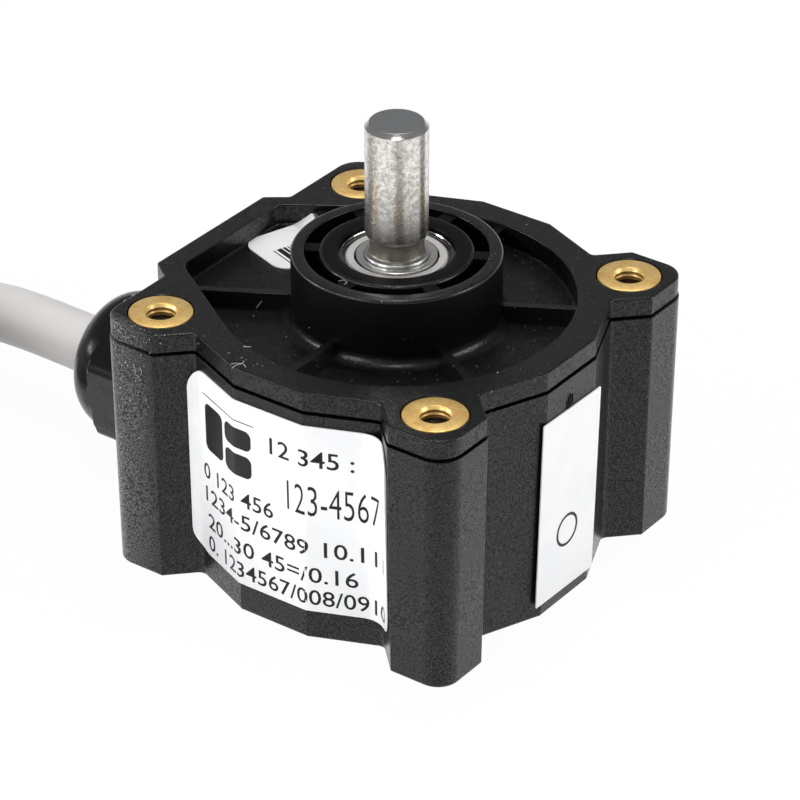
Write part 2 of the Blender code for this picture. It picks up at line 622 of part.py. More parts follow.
def make_shaft(steel):
    """Turned shaft with its end chamfer, neck, shoulder and clip groove."""
    shoulder = FRONT_BEARING_TOP + FIT_GAP
    neck = shoulder + SHOULDER_LENGTH
    seat = SHAFT_RADIUS
    groove = SHAFT_RADIUS - SHAFT_CLIP_DEPTH
    profile = [(0, SHAFT_BOTTOM), (seat, SHAFT_BOTTOM),
               (seat, SHAFT_CLIP_BOTTOM - FIT_GAP),
               (groove, SHAFT_CLIP_BOTTOM - FIT_GAP),
               (groove, SHAFT_CLIP_TOP + FIT_GAP), (seat, SHAFT_CLIP_TOP + FIT_GAP),
               (seat, shoulder), (SHOULDER_RADIUS, shoulder), (NECK_RADIUS, neck),
               (NECK_RADIUS, neck + NECK_LENGTH),
               (SHAFT_RADIUS, neck + NECK_LENGTH),
               (SHAFT_RADIUS, SHAFT_TOP - SHAFT_CHAMFER),
               (SHAFT_RADIUS - SHAFT_CHAMFER, SHAFT_TOP), (0, SHAFT_TOP)]
    finish("shaft", turned(profile, LARGE_STEPS), steel)
    sleeve_top = FRONT_BEARING_TOP - BEARING_WIDTH - FIT_GAP
    sleeve_bottom = REAR_BEARING_TOP + FIT_GAP
    profile = [(INNER_RING_BORE, sleeve_bottom), (INNER_LAND_RADIUS, sleeve_bottom),
               (INNER_LAND_RADIUS, sleeve_top), (INNER_RING_BORE, sleeve_top)]
    finish("spacer_sleeve", turned(profile, BEARING_STEPS), steel)


def race_groove(land, middle):
    """Arc of the ball track between a ring's two lands, bottom to top."""
    radius = BALL_RADIUS + GROOVE_GAP
    reach = math.acos(abs(PITCH_RADIUS - land) / radius)
    side = 1.0 if land > PITCH_RADIUS else -1.0
    points = []
    for i in range(5):
        angle = reach * (i / 2 - 1)
        points.append((PITCH_RADIUS + side * radius * math.cos(angle),
                       middle + radius * math.sin(angle)))
    return points


def make_bearing(name, top, steel, ball_steel, brass):
    """Shielded ball bearing: two rings, two shields, a crown cage and balls."""
    bottom = top - BEARING_WIDTH
    middle = (top + bottom) / 2
    outer = [(BEARING_OUTER_RADIUS, bottom), (BEARING_OUTER_RADIUS, top),
             (OUTER_LAND_RADIUS, top)]
    outer += reversed(race_groove(OUTER_LAND_RADIUS, middle))
    outer += [(OUTER_LAND_RADIUS, bottom)]
    finish(f"{name}_outer_ring", turned(outer, BEARING_STEPS), steel)
    inner = [(INNER_RING_BORE, bottom), (INNER_LAND_RADIUS, bottom)]
    inner += race_groove(INNER_LAND_RADIUS, middle)
    inner += [(INNER_LAND_RADIUS, top), (INNER_RING_BORE, top)]
    finish(f"{name}_inner_ring", turned(inner, BEARING_STEPS), steel)

    shield_inner = INNER_LAND_RADIUS + SLIDE_GAP
    shield_outer = OUTER_LAND_RADIUS - FIT_GAP
    places = (("top", top - SHIELD_RECESS - SHIELD_THICKNESS),
              ("bottom", bottom + SHIELD_RECESS))
    for end, low in places:
        high = low + SHIELD_THICKNESS
        profile = [(shield_inner, low), (shield_outer, low),
                   (shield_outer, high), (shield_inner, high)]
        finish(f"{name}_shield_{end}", turned(profile, BEARING_STEPS), steel)

    cage_inner = CAGE_MIDDLE_RADIUS - CAGE_WIDTH / 2
    cage_outer = CAGE_MIDDLE_RADIUS + CAGE_WIDTH / 2
    cage_top = middle - BALL_RADIUS - SLIDE_GAP
    cage_bottom = cage_top - CAGE_THICKNESS
    profile = [(cage_inner, cage_bottom), (cage_outer, cage_bottom),
               (cage_outer, cage_top), (cage_inner, cage_top)]
    cage = finish(f"{name}_cage", turned(profile, BEARING_STEPS), brass)
    finger_low = cage_bottom + CAGE_THICKNESS / 2
    finger_high = cage_top + CAGE_FINGER_HEIGHT
    finger_width = PITCH_RADIUS * CAGE_FINGER_ANGLE
    fingers = []
    for i in range(BALL_COUNT):
        size = (CAGE_WIDTH - FIT_GAP, finger_width, finger_high - finger_low)
        centre = (CAGE_MIDDLE_RADIUS, 0, (finger_high + finger_low) / 2)
        fingers.append(block(size, centre, 2 * math.pi * (i + 0.5) / BALL_COUNT))
    combine(cage, "UNION", gathered(fingers), f"add_{name}_fingers")

    for i in range(BALL_COUNT):
        angle = 2 * math.pi * i / BALL_COUNT
        ball = bmesh.new()
        bmesh.ops.create_icosphere(ball, subdivisions=2, radius=BALL_RADIUS)
        place = Vector((PITCH_RADIUS * math.cos(angle),
                        PITCH_RADIUS * math.sin(angle), middle))
        finish(f"{name}_ball_{i + 1}", ball, ball_steel, place)


def split_ring(inner, outer, bottom, top):
    """Flat clip with a gap in it, facing +X."""
    steps = BEARING_STEPS
    outside = []
    inside = []
    for i in range(steps + 1):
        angle = CLIP_OPENING / 2 + (2 * math.pi - CLIP_OPENING) * i / steps
        outside.append((outer * math.cos(angle), outer * math.sin(angle)))
        inside.append((inner * math.cos(angle), inner * math.sin(angle)))
    return prism(outside + inside[::-1], bottom, top)


def make_retainers(steel):
    """Wave washer and bore clip under the rear bearing, clip on the shaft."""
    middle = REAR_BEARING_BOTTOM - WASHER_ROOM / 2
    low = middle - WASHER_THICKNESS / 2
    high = middle + WASHER_THICKNESS / 2
    washer_inner = OUTER_LAND_RADIUS + SLIDE_GAP
    washer_outer = BEARING_OUTER_RADIUS - FIT_GAP
    washer = turned([(washer_inner, low), (washer_outer, low),
                     (washer_outer, high), (washer_inner, high)], BEARING_STEPS)
    for vert in washer.verts:
        angle = math.atan2(vert.co.y, vert.co.x)
        vert.co.z += WASHER_WAVE * math.sin(WASHER_WAVES * angle)
    finish("wave_washer", washer, steel)
    clip = split_ring(BORE_CLIP_INNER_RADIUS, BEARING_BORE + BORE_CLIP_DEPTH,
                      CLIP_BOTTOM, CLIP_TOP)
    finish("bore_clip", clip, steel)
    clip = split_ring(SHAFT_RADIUS - SHAFT_CLIP_DEPTH + FIT_GAP, SHAFT_CLIP_RADIUS,
                      SHAFT_CLIP_BOTTOM, SHAFT_CLIP_TOP)
    finish("shaft_clip", clip, steel)


def make_disc(metal, steel, glass):
    """Hub on the shaft's lower end, its set screw, and the code disc."""
    nose_radius = DISC_BORE_RADIUS - SLIDE_GAP
    nose_bottom = HUB_BOTTOM - HUB_NOSE_HEIGHT
    hub_top = HUB_BOTTOM + HUB_HEIGHT
    profile = [(INNER_RING_BORE, nose_bottom), (nose_radius, nose_bottom),
               (nose_radius, HUB_BOTTOM), (HUB_RADIUS, HUB_BOTTOM),
               (HUB_RADIUS, hub_top), (INNER_RING_BORE, hub_top)]
    hub = finish("disc_hub", turned(profile, BEARING_STEPS), metal)
    height = (HUB_BOTTOM + hub_top) / 2
    sideways = Matrix.Translation((0, 0, height)) @ Matrix.Rotation(math.pi / 2, 4, "Y")
    start = SHAFT_RADIUS - CUT_MARGIN
    end = HUB_RADIUS + CUT_MARGIN
    hole_radius = HUB_SCREW_RADIUS + FIT_GAP
    hole = turned([(0, start), (hole_radius, start), (hole_radius, end), (0, end)],
                  SMALL_STEPS)
    combine(hub, "DIFFERENCE", moved(hole, sideways), "cut_hub_screw")
    start = SHAFT_RADIUS + FIT_GAP
    end = HUB_RADIUS - SLIDE_GAP
    screw = turned([(0, start), (HUB_SCREW_RADIUS, start),
                    (HUB_SCREW_RADIUS, end), (0, end)], SMALL_STEPS)
    finish("hub_screw", moved(screw, sideways), steel)
    disc_top = DISC_HEIGHT + DISC_THICKNESS
    profile = [(DISC_BORE_RADIUS, DISC_HEIGHT), (DISC_RADIUS, DISC_HEIGHT),
               (DISC_RADIUS, disc_top), (DISC_BORE_RADIUS, disc_top)]
    finish("code_disc", turned(profile, LARGE_STEPS), glass)


def make_board(laminate, steel, chip, glass, plastic, can, white):
    """Circuit board on three pillars, with the optical parts and connector."""
    points = []
    chord_angle = math.acos(-BOARD_CHORD / BOARD_RADIUS)
    for i in range(LARGE_STEPS):
        angle = chord_angle * (2 * i / (LARGE_STEPS - 1) - 1)
        points.append((BOARD_RADIUS * math.cos(angle), BOARD_RADIUS * math.sin(angle)))
    board = finish("circuit_board", prism(points, BOARD_HEIGHT, BOARD_TOP), laminate)
    hole_radius = BOARD_SCREW_RADIUS + SLIDE_GAP
    below = BOARD_HEIGHT - CUT_MARGIN
    above = BOARD_TOP + CUT_MARGIN
    head_bottom = BOARD_TOP + FIT_GAP
    head_top = head_bottom + BOARD_SCREW_HEAD_HEIGHT
    tip = BOARD_TOP - BOARD_SCREW_LENGTH
    screw = [(0, tip), (BOARD_SCREW_RADIUS, tip), (BOARD_SCREW_RADIUS, head_bottom),
             (BOARD_SCREW_HEAD_RADIUS, head_bottom),
             (BOARD_SCREW_HEAD_RADIUS, head_top), (0, head_top)]
    holes = []
    for number, degrees in enumerate(PILLAR_ANGLES, start=1):
        angle = math.radians(degrees)
        place = Vector((PILLAR_PITCH_RADIUS * math.cos(angle),
                        PILLAR_PITCH_RADIUS * math.sin(angle), 0))
        hole = turned([(0, below), (hole_radius, below),
                       (hole_radius, above), (0, above)], SMALL_STEPS)
        holes.append(moved(hole, Matrix.Translation(place)))
        finish(f"board_screw_{number}", turned(screw, SMALL_STEPS), steel, place)
    combine(board, "DIFFERENCE", gathered(holes), "cut_board_holes")

    sensor_low = BOARD_TOP + FIT_GAP
    place = Vector((TRACK_RADIUS, 0, sensor_low + SENSOR_SIZE.z / 2))
    finish("sensor_chip", block(SENSOR_SIZE, place), chip)
    reticle_low = sensor_low + SENSOR_SIZE.z + FIT_GAP
    place = Vector((TRACK_RADIUS, 0, reticle_low + RETICLE_SIZE.z / 2))
    finish("reticle", block(RETICLE_SIZE, place), glass)

    emitter_low = DISC_HEIGHT + DISC_THICKNESS + EMITTER_STANDOFF
    emitter_high = emitter_low + EMITTER_LENGTH
    emitter = turned([(0, emitter_low), (EMITTER_RADIUS, emitter_low),
                      (EMITTER_RADIUS, emitter_high), (0, emitter_high)], SMALL_STEPS)
    finish("led_emitter", moved(emitter, Matrix.Translation((TRACK_RADIUS, 0, 0))),
           white)
    arm_low = emitter_low + EMITTER_LENGTH / 2
    arm_high = emitter_high + FIT_GAP + HOLDER_WALL / 2
    post_start = DISC_RADIUS + HOLDER_POST_GAP
    post_end = post_start + HOLDER_WALL
    side = [(HOLDER_START, arm_low), (HOLDER_START, arm_high), (post_end, arm_high),
            (post_end, sensor_low), (post_start, sensor_low), (post_start, arm_low)]
    holder = prism(side, -HOLDER_WIDTH / 2, HOLDER_WIDTH / 2)
    holder = finish("led_holder", moved(holder, Matrix.Rotation(math.pi / 2, 4, "X")),
                    plastic)
    room = EMITTER_RADIUS + FIT_GAP
    ceiling = emitter_high + FIT_GAP
    socket = turned([(0, emitter_low - CUT_MARGIN), (room, emitter_low - CUT_MARGIN),
                     (room, ceiling), (0, ceiling)], SMALL_STEPS)
    combine(holder, "DIFFERENCE",
            moved(socket, Matrix.Translation((TRACK_RADIUS, 0, 0))), "cut_emitter")

    under = BOARD_HEIGHT - FIT_GAP
    place = DRIVER_CHIP_PLACE.to_3d()
    place.z = under - DRIVER_CHIP_SIZE.z / 2
    finish("driver_chip", block(DRIVER_CHIP_SIZE, place), chip)
    capacitor = turned([(0, under - CAPACITOR_HEIGHT),
                        (CAPACITOR_RADIUS, under - CAPACITOR_HEIGHT),
                        (CAPACITOR_RADIUS, under), (0, under)], SMALL_STEPS)
    finish("capacitor", capacitor, can, CAPACITOR_PLACE.to_3d())
    place = Vector((-CONNECTOR_REACH, GLAND_OFFSET, under - CONNECTOR_SIZE.z / 2))
    finish("wire_connector", block(CONNECTOR_SIZE, place), white)


def gland_matrix():
    """Turn local +Z to world -X, on the gland's axis."""
    place = Matrix.Translation((0, GLAND_OFFSET, GLAND_HEIGHT))
    return place @ Matrix.Rotation(-math.pi / 2, 4, "Y")


def hexagon(flats, turn):
    radius = flats / 2 / math.cos(math.pi / 6)
    angles = [turn + math.pi / 3 * i for i in range(6)]
    return [(radius * math.cos(a), radius * math.sin(a)) for a in angles]


def make_gland(nylon, rubber):
    """Gland body in the case wall, the seal round the cable, and the nut."""
    inside = HALF_WIDTH - GLAND_THREAD_REACH
    collar_end = GLAND_FACE + GLAND_COLLAR_LENGTH
    seal_room = GLAND_CUP_RADIUS - GLAND_CUP_WALL
    seal_floor = CUP_END - GLAND_SEAL_LENGTH - SEAT_GAP
    hole = CABLE_HOLE_RADIUS + SEAT_GAP
    thread_inside = inside + GLAND_THREAD_REACH / 2
    body = turned([(hole, thread_inside), (GLAND_THREAD_RADIUS, thread_inside),
                   (GLAND_THREAD_RADIUS, GLAND_FACE + GLAND_COLLAR_LENGTH / 2),
                   (GLAND_CUP_RADIUS, GLAND_FACE + GLAND_COLLAR_LENGTH / 2),
                   (GLAND_CUP_RADIUS, CUP_END), (seal_room, CUP_END),
                   (seal_room, seal_floor), (hole, seal_floor)], BEARING_STEPS)
    made = finish("gland_body", moved(body, gland_matrix()), nylon)
    collar = prism(hexagon(NUT_FLATS, NUT_TURN), GLAND_FACE, collar_end)
    combine(made, "UNION", moved(collar, gland_matrix()), "add_collar")
    bore = turned([(0, inside - CUT_MARGIN), (hole, inside - CUT_MARGIN),
                   (hole, collar_end + CUT_MARGIN), (0, collar_end + CUT_MARGIN)],
                  BEARING_STEPS)
    combine(made, "DIFFERENCE", moved(bore, gland_matrix()), "cut_gland_bore")

    seal_start = seal_floor + SLIDE_GAP
    seal = turned([(CABLE_HOLE_RADIUS, seal_start),
                   (seal_room - SLIDE_GAP, seal_start),
                   (seal_room - SLIDE_GAP, seal_start + GLAND_SEAL_LENGTH),
                   (CABLE_HOLE_RADIUS, seal_start + GLAND_SEAL_LENGTH)], BEARING_STEPS)
    finish("gland_seal", moved(seal, gland_matrix()), rubber)

    dome_start = NUT_START + NUT_HEX_LENGTH
    nut = prism(hexagon(NUT_FLATS, NUT_TURN), NUT_START, NUT_END)
    nut = finish("gland_nut", moved(nut, gland_matrix()), nylon)
    dome = [(0, NUT_START - CUT_MARGIN), (NUT_FLATS, NUT_START - CUT_MARGIN),
            (NUT_FLATS, dome_start)]
    dome += quarter(NUT_MOUTH_RADIUS, dome_start, NUT_DOME_RADIUS - NUT_MOUTH_RADIUS,
                    NUT_DOME_LENGTH, 0, 4)
    dome += [(0, NUT_END)]
    combine(nut, "INTERSECT", moved(turned(dome, LARGE_STEPS), gland_matrix()),
            "shape_dome")
    room = GLAND_CUP_RADIUS + SEAT_GAP
    room_end = CUP_END + SEAT_GAP
    cut = turned([(0, NUT_START - 2 * CUT_MARGIN), (room, NUT_START - 2 * CUT_MARGIN),
                  (room, room_end), (CABLE_HOLE_RADIUS, room_end),
                  (CABLE_HOLE_RADIUS, NUT_END + CUT_MARGIN), (0, NUT_END + CUT_MARGIN)],
                 BEARING_STEPS)
    combine(nut, "DIFFERENCE", moved(cut, gland_matrix()), "cut_nut_bore")


def smooth_route(points, spacing):
    """Points at about one spacing on a curve through the given points."""
    padded = [2 * points[0] - points[1]] + list(points) + [2 * points[-1] - points[-2]]
    route = []
    for before, start, end, after in zip(padded, padded[1:], padded[2:], padded[3:]):
        count = max(1, round((end - start).length / spacing))
        for i in range(count):
            t = i / count
            bend = (before * (-t + 2 * t ** 2 - t ** 3)
                    + start * (2 - 5 * t ** 2 + 3 * t ** 3)
                    + end * (t + 4 * t ** 2 - 3 * t ** 3)
                    + after * (t ** 3 - t ** 2))
            route.append(bend / 2)
    route.append(points[-1].copy())
    return route


def make_cable(sheath):
    """Cable tube from the board to the floor, and the coil of the rest."""
    start = Vector((-CABLE_INSIDE_END, GLAND_OFFSET, GLAND_HEIGHT))
    points = [start] + smooth_route(CABLE_ROUTE, CABLE_POINT_SPACING)
    curve = bpy.data.curves.new("cable_tube", "CURVE")
    curve.dimensions = "3D"
    curve.bevel_depth = CABLE_RADIUS
    curve.bevel_resolution = 4
    curve.use_fill_caps = True
    line = curve.splines.new("POLY")
    line.points.add(len(points) - 1)
    for spot, point in zip(line.points, points):
        spot.co = (*point, 1.0)
    curve.materials.append(sheath)
    tube = bpy.data.objects.new("cable_tube", curve)
    bpy.context.collection.objects.link(tube)

    half_width = COIL_TURNS_WIDE * CABLE_RADIUS
    height = COIL_TURNS_HIGH * 2 * CABLE_RADIUS
    inner = COIL_MIDDLE_RADIUS - half_width
    outer = COIL_MIDDLE_RADIUS + half_width
    edge = CABLE_RADIUS / 2
    profile = [(inner + edge, 0), (outer - edge, 0), (outer, edge),
               (outer, height - edge), (outer - edge, height),
               (inner + edge, height), (inner, height - edge), (inner, edge)]
    finish("cable_coil", turned(profile, LARGE_STEPS), sheath, COIL_CENTRE)


def label_path(height, lift):
    """Plan of the type label on the case wall at one height, left to right."""
    wall = [Vector(point) for point in case_outline(inset_at(height) - lift)]
    quadrant_points = EAR_TIP_STEPS + 7
    start = len(wall) - quadrant_points - 3
    ear_left, junction_left, facet_left, facet_right, junction_right, ear_right = (
        wall[start:start + 6])
    left_lap = (ear_left - junction_left).normalized() * TYPE_LABEL_LEFT_LAP
    right_lap = (ear_right - junction_right).normalized() * TYPE_LABEL_RIGHT_LAP
    left_end = junction_left + left_lap
    right_end = junction_right + right_lap
    return [left_end, junction_left, facet_left, facet_right, junction_right, right_end]


def make_labels(film):
    """Wrap-round type label, plate on +X, and the label in the recess."""
    shape = bmesh.new()
    rows = []
    for height in (TYPE_LABEL_BOTTOM, TYPE_LABEL_TOP):
        for lift in (LABEL_LIFT, LABEL_LIFT + LABEL_THICKNESS):
            path = label_path(height, lift)
            rows.append([shape.verts.new((p.x, p.y, height)) for p in path])
    low_in, low_out, high_in, high_out = rows
    for i in range(len(low_in) - 1):
        shape.faces.new((low_in[i], low_in[i + 1], low_out[i + 1], low_out[i]))
        shape.faces.new((high_in[i], high_out[i], high_out[i + 1], high_in[i + 1]))
        shape.faces.new((low_out[i], low_out[i + 1], high_out[i + 1], high_out[i]))
        shape.faces.new((low_in[i], high_in[i], high_in[i + 1], low_in[i + 1]))
    for i in (0, -1):
        shape.faces.new((low_in[i], low_out[i], high_out[i], high_in[i]))
    finish("type_label", shape, film)

    lean = inset_at(SIDE_LABEL_BOTTOM) - inset_at(SIDE_LABEL_TOP)
    face = HALF_WIDTH - inset_at(SIDE_LABEL_TOP) + LABEL_LIFT
    half = SIDE_LABEL_WIDTH / 2
    side = [(face - lean, SIDE_LABEL_BOTTOM),
            (face - lean + LABEL_THICKNESS, SIDE_LABEL_BOTTOM),
            (face + LABEL_THICKNESS, SIDE_LABEL_TOP), (face, SIDE_LABEL_TOP)]
    plate = prism(side, -half, half)
    finish("side_label", moved(plate, Matrix.Rotation(math.pi / 2, 4, "X")), film)

    low = POCKET_FLOOR + LABEL_LIFT
    reach = POCKET_END - BOSS_FOOT_EDGE
    outline = [(-BOSS_FOOT_EDGE - out * reach, side * POCKET_RADIUS)
               for out, side in RECESS_LABEL_CORNERS]
    finish("recess_label", prism(outline, low, low + LABEL_THICKNESS), film)


def main():
    clear_scene()
    plastic = material("black_plastic", (0.025, 0.025, 0.026), 0.6)
    nylon = material("black_nylon", (0.015, 0.015, 0.015), 0.3)
    rubber = material("black_rubber", (0.02, 0.02, 0.02), 0.8)
    brass = material("brass", (0.68, 0.43, 0.13), 0.3, 1.0)
    steel = material("turned_steel", (0.5, 0.49, 0.47), 0.35, 1.0)
    ball_steel = material("ball_steel", (0.7, 0.7, 0.7), 0.1, 1.0)
    alloy = material("aluminium", (0.7, 0.7, 0.71), 0.35, 1.0)
    glass = material("coded_glass", (0.6, 0.65, 0.65), 0.1)
    laminate = material("green_laminate", (0.02, 0.12, 0.05), 0.4)
    chip = material("chip_resin", (0.02, 0.02, 0.02), 0.5)
    white = material("white_plastic", (0.75, 0.75, 0.72), 0.5)
    sheath = material("grey_sheath", (0.72, 0.7, 0.68), 0.5)
    film = material("white_label", (0.85, 0.85, 0.85), 0.4)

    make_housing(plastic)
    make_cover(plastic)
    make_seal(rubber)
    make_inserts(brass, steel)
    make_shaft(steel)
    make_bearing("front", FRONT_BEARING_TOP, steel, ball_steel, brass)
    make_bearing("rear", REAR_BEARING_TOP, steel, ball_steel, brass)
    make_retainers(steel)
    make_disc(alloy, steel, glass)
    make_board(laminate, steel, chip, glass, plastic, alloy, white)
    make_gland(nylon, rubber)
    make_cable(sheath)
    make_labels(film)


main()
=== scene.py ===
import random
from math import acos, atan2, ceil, cos, pi, radians, remainder, sin, sqrt, tan

import bmesh
import bpy
from mathutils import Matrix, Vector


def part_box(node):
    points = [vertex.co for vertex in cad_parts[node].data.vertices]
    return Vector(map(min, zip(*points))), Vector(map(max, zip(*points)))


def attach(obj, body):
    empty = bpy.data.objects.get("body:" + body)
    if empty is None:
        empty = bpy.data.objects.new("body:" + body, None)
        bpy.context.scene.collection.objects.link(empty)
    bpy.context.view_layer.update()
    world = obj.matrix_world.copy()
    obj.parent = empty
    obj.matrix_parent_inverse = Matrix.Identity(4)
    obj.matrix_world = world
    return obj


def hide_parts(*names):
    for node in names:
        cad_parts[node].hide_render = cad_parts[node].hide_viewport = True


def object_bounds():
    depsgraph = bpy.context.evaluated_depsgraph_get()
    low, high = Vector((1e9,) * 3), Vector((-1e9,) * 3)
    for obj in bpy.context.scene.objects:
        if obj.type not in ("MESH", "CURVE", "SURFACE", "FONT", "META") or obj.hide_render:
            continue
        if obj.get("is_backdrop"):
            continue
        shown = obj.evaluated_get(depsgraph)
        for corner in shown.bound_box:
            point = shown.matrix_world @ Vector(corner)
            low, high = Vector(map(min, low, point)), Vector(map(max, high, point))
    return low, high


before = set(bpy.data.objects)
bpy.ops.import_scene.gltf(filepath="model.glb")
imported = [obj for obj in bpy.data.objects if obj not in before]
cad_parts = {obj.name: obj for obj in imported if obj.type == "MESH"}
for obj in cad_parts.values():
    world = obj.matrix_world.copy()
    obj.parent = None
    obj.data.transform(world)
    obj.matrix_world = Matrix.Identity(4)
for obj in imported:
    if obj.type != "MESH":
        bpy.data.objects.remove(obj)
cad_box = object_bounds()


# Camera
# A long lens looks down on the encoder from its front corner, between the
# side label and the type label, as the photograph does.
MM = 0.001
VIEW_AZIMUTH = radians(36.09)
VIEW_ELEVATION = radians(30.96)
VIEW_DISTANCE = 394.8 * MM
VIEW_TARGET = Vector((0.37, 0.0, 15.2)) * MM
LENS_LENGTH = 185.65


def placed(name, data):
    """A new object in the scene, with the data it shows."""
    made = bpy.data.objects.new(name, data)
    bpy.context.collection.objects.link(made)
    return made


camera_data = bpy.data.cameras.new("photo_camera")
camera_data.lens = LENS_LENGTH
camera_data.sensor_width = 36.0
camera_data.clip_start = 0.01
camera_data.clip_end = 20.0
camera = placed("photo_camera", camera_data)
towards_camera = Vector((
    sin(VIEW_AZIMUTH) * cos(VIEW_ELEVATION),
    -cos(VIEW_AZIMUTH) * cos(VIEW_ELEVATION),
    sin(VIEW_ELEVATION)))
camera.location = VIEW_TARGET + towards_camera * VIEW_DISTANCE
camera.rotation_euler = (pi / 2 - VIEW_ELEVATION, 0.0, VIEW_AZIMUTH)
bpy.context.scene.camera = camera
bpy.context.scene.view_settings.view_transform = "Standard"


# Studio
# A white table that runs on for ever, with a soft box on each side of the
# camera and far left, two small ones overhead, and a sky bright low down only.
FLOOR_SIZE = 6.0
FLOOR_COLOUR = (0.86, 0.86, 0.86, 1.0)
FLOOR_GLOW = 0.96
SKY_LIGHT = 0.42
SKY_GLOSS = 0.17
HORIZON_GLOSS = 0.75
HORIZON_HEIGHT = 0.3
FLOOR_DROP = 0.02 * MM
WHITE = (1.0, 1.0, 1.0, 1.0)
SOFT_BOXES = (
    ("left_box", Vector((-0.25, -0.98, 0.5)), 0.5, 4.7),
    ("right_box", Vector((0.92, 0.4, 0.38)), 0.5, 4.8),
    ("front_top_box", Vector((0.32, -0.44, 0.95)), 0.3, 2.2),
    ("top_box", Vector((-0.15, 0.25, 1.1)), 0.35, 4.4),
    ("far_left_box", Vector((-0.88, -0.6, 0.24)), 0.28, 4.8),
)


def new_material(name, roughness, metallic=0.0):
    """A new material, its nodes and its shader."""
    made = bpy.data.materials.new(name)
    made.use_nodes = True
    shader = made.node_tree.nodes["Principled BSDF"]
    shader.inputs["Roughness"].default_value = roughness
    shader.inputs["Metallic"].default_value = metallic
    return made, made.node_tree, shader


def feed(tree, socket, value):
    """Link a socket to another node's output, or give it a fixed value."""
    if isinstance(value, bpy.types.NodeSocket):
        tree.links.new(value, socket)
    else:
        socket.default_value = value


def add_node(tree, kind, *values, settings=None, **named):
    """Place a node, set its options and feed its inputs, in order or by name."""
    node = tree.nodes.new("ShaderNode" + kind)
    for option, value in (settings or {}).items():
        setattr(node, option, value)
    for number, value in enumerate(values):
        feed(tree, node.inputs[number], value)
    for name, value in named.items():
        feed(tree, node.inputs[name], value)
    return node


def maths(tree, operation, *values):
    """The result of a sum on one or two values."""
    return add_node(tree, "Math", *values, settings={"operation": operation}).outputs[0]


def rescaled(tree, value, low, high, to_low=0.0, to_high=1.0):
    """A value with its range from low to high stretched to another range."""
    return add_node(tree, "MapRange", value, low, high, to_low, to_high).outputs["Result"]


floor_shape = bmesh.new()
bmesh.ops.create_grid(floor_shape, x_segments=1, y_segments=1, size=FLOOR_SIZE / 2)
floor_mesh = bpy.data.meshes.new("table_top")
floor_shape.to_mesh(floor_mesh)
floor_shape.free()
floor = placed("table_top", floor_mesh)
floor.location.z = -FLOOR_DROP
floor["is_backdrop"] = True
floor_material, tree, shader = new_material("white_table", 0.9)
shader.inputs["Base Color"].default_value = FLOOR_COLOUR
shader.inputs["Specular IOR Level"].default_value = 0.0
path = add_node(tree, "LightPath").outputs
seen = maths(tree, "MAXIMUM", path["Is Camera Ray"], path["Is Glossy Ray"])
share = maths(tree, "MULTIPLY", seen, FLOOR_GLOW)
glow = add_node(tree, "Emission", Color=WHITE, Strength=1.0)
blend = add_node(tree, "MixShader", share, shader.outputs[0], glow.outputs[0])
tree.links.new(blend.outputs[0], tree.nodes["Material Output"].inputs["Surface"])
floor_mesh.materials.append(floor_material)

sky = bpy.data.worlds.new("white_sky")
sky.use_nodes = True
tree = sky.node_tree
path = add_node(tree, "LightPath").outputs
way = add_node(tree, "TexCoord").outputs["Generated"]
height = add_node(tree, "SeparateXYZ", way).outputs["Z"]
glossy = rescaled(tree, height, 0.0, HORIZON_HEIGHT, HORIZON_GLOSS, SKY_GLOSS)
around = add_node(tree, "Mix", path["Is Glossy Ray"], A=SKY_LIGHT, B=glossy).outputs["Result"]
level = add_node(tree, "Mix", path["Is Camera Ray"], A=around, B=1.0).outputs["Result"]
feed(tree, tree.nodes["Background"].inputs["Strength"], level)
feed(tree, tree.nodes["Background"].inputs["Color"], WHITE)
bpy.context.scene.world = sky

for name, place, size, power in SOFT_BOXES:
    lamp = bpy.data.lights.new(name, "AREA")
    lamp.shape = "SQUARE"
    lamp.size = size
    lamp.energy = power
    box = placed(name, lamp)
    box.location = place
    box.rotation_euler = (-place).to_track_quat("-Z", "Y").to_euler()


# Cable
# Six millimetres of light grey jacket, about a metre long. It runs straight out
# of the gland, sinks to the table and is wound into a coil of three layers. Its
# bare end shows five thin stripped cores with tinned tips.
CABLE_DIAMETER = 6.0 * MM
CABLE_START = Vector((-16.4, -0.4, 8.3)) * MM
CABLE_ROUTE = (
    (-30.0, -0.4, 8.3), (-38.0, -0.4, 8.3), (-46.0, -0.3, 8.3), (-51.5, -0.2, 7.75),
    (-59.5, -0.1, 5.65), (-67.0, 0.0, 3.55), (-72.0, 0.0, 3.0))
COIL_CENTRE = Vector((-73.0, -34.0)) * MM
COIL_OUTER_TURN = 34.0 * MM
COIL_INNER_TURN = 28.0 * MM
COIL_MOVE_TURNS = 0.27
COIL_TURNS = 4.65
COIL_TURN_POINTS = 40
JACKET_COLOUR = (0.7, 0.68, 0.675, 1.0)
JACKET_TINTS = (0.93, 1.03)
JACKET_SKIN = 0.02 * MM
JACKET_RELIEF = 0.12
CORE_RADIUS = 0.5 * MM
CORE_TIP_RADIUS = 0.3 * MM
CORE_SPREAD = 1.02 * MM
CORE_HIDDEN = 0.012
CORE_TURNS = 0.1
CORE_POINTS = 24
CORE_TIP_POINTS = 4
CORE_BUNDLE = 0.35
TIN_DULL = (0.42, 0.41, 0.4, 1.0)
TIN_PALE = (0.8, 0.79, 0.77, 1.0)
CORE_COLOURS = (
    ("white", (0.8, 0.8, 0.78, 1.0)),
    ("brown", (0.16, 0.06, 0.025, 1.0)),
    ("green", (0.02, 0.2, 0.06, 1.0)),
    ("yellow", (0.75, 0.55, 0.04, 1.0)),
    ("grey", (0.25, 0.25, 0.26, 1.0)),
)


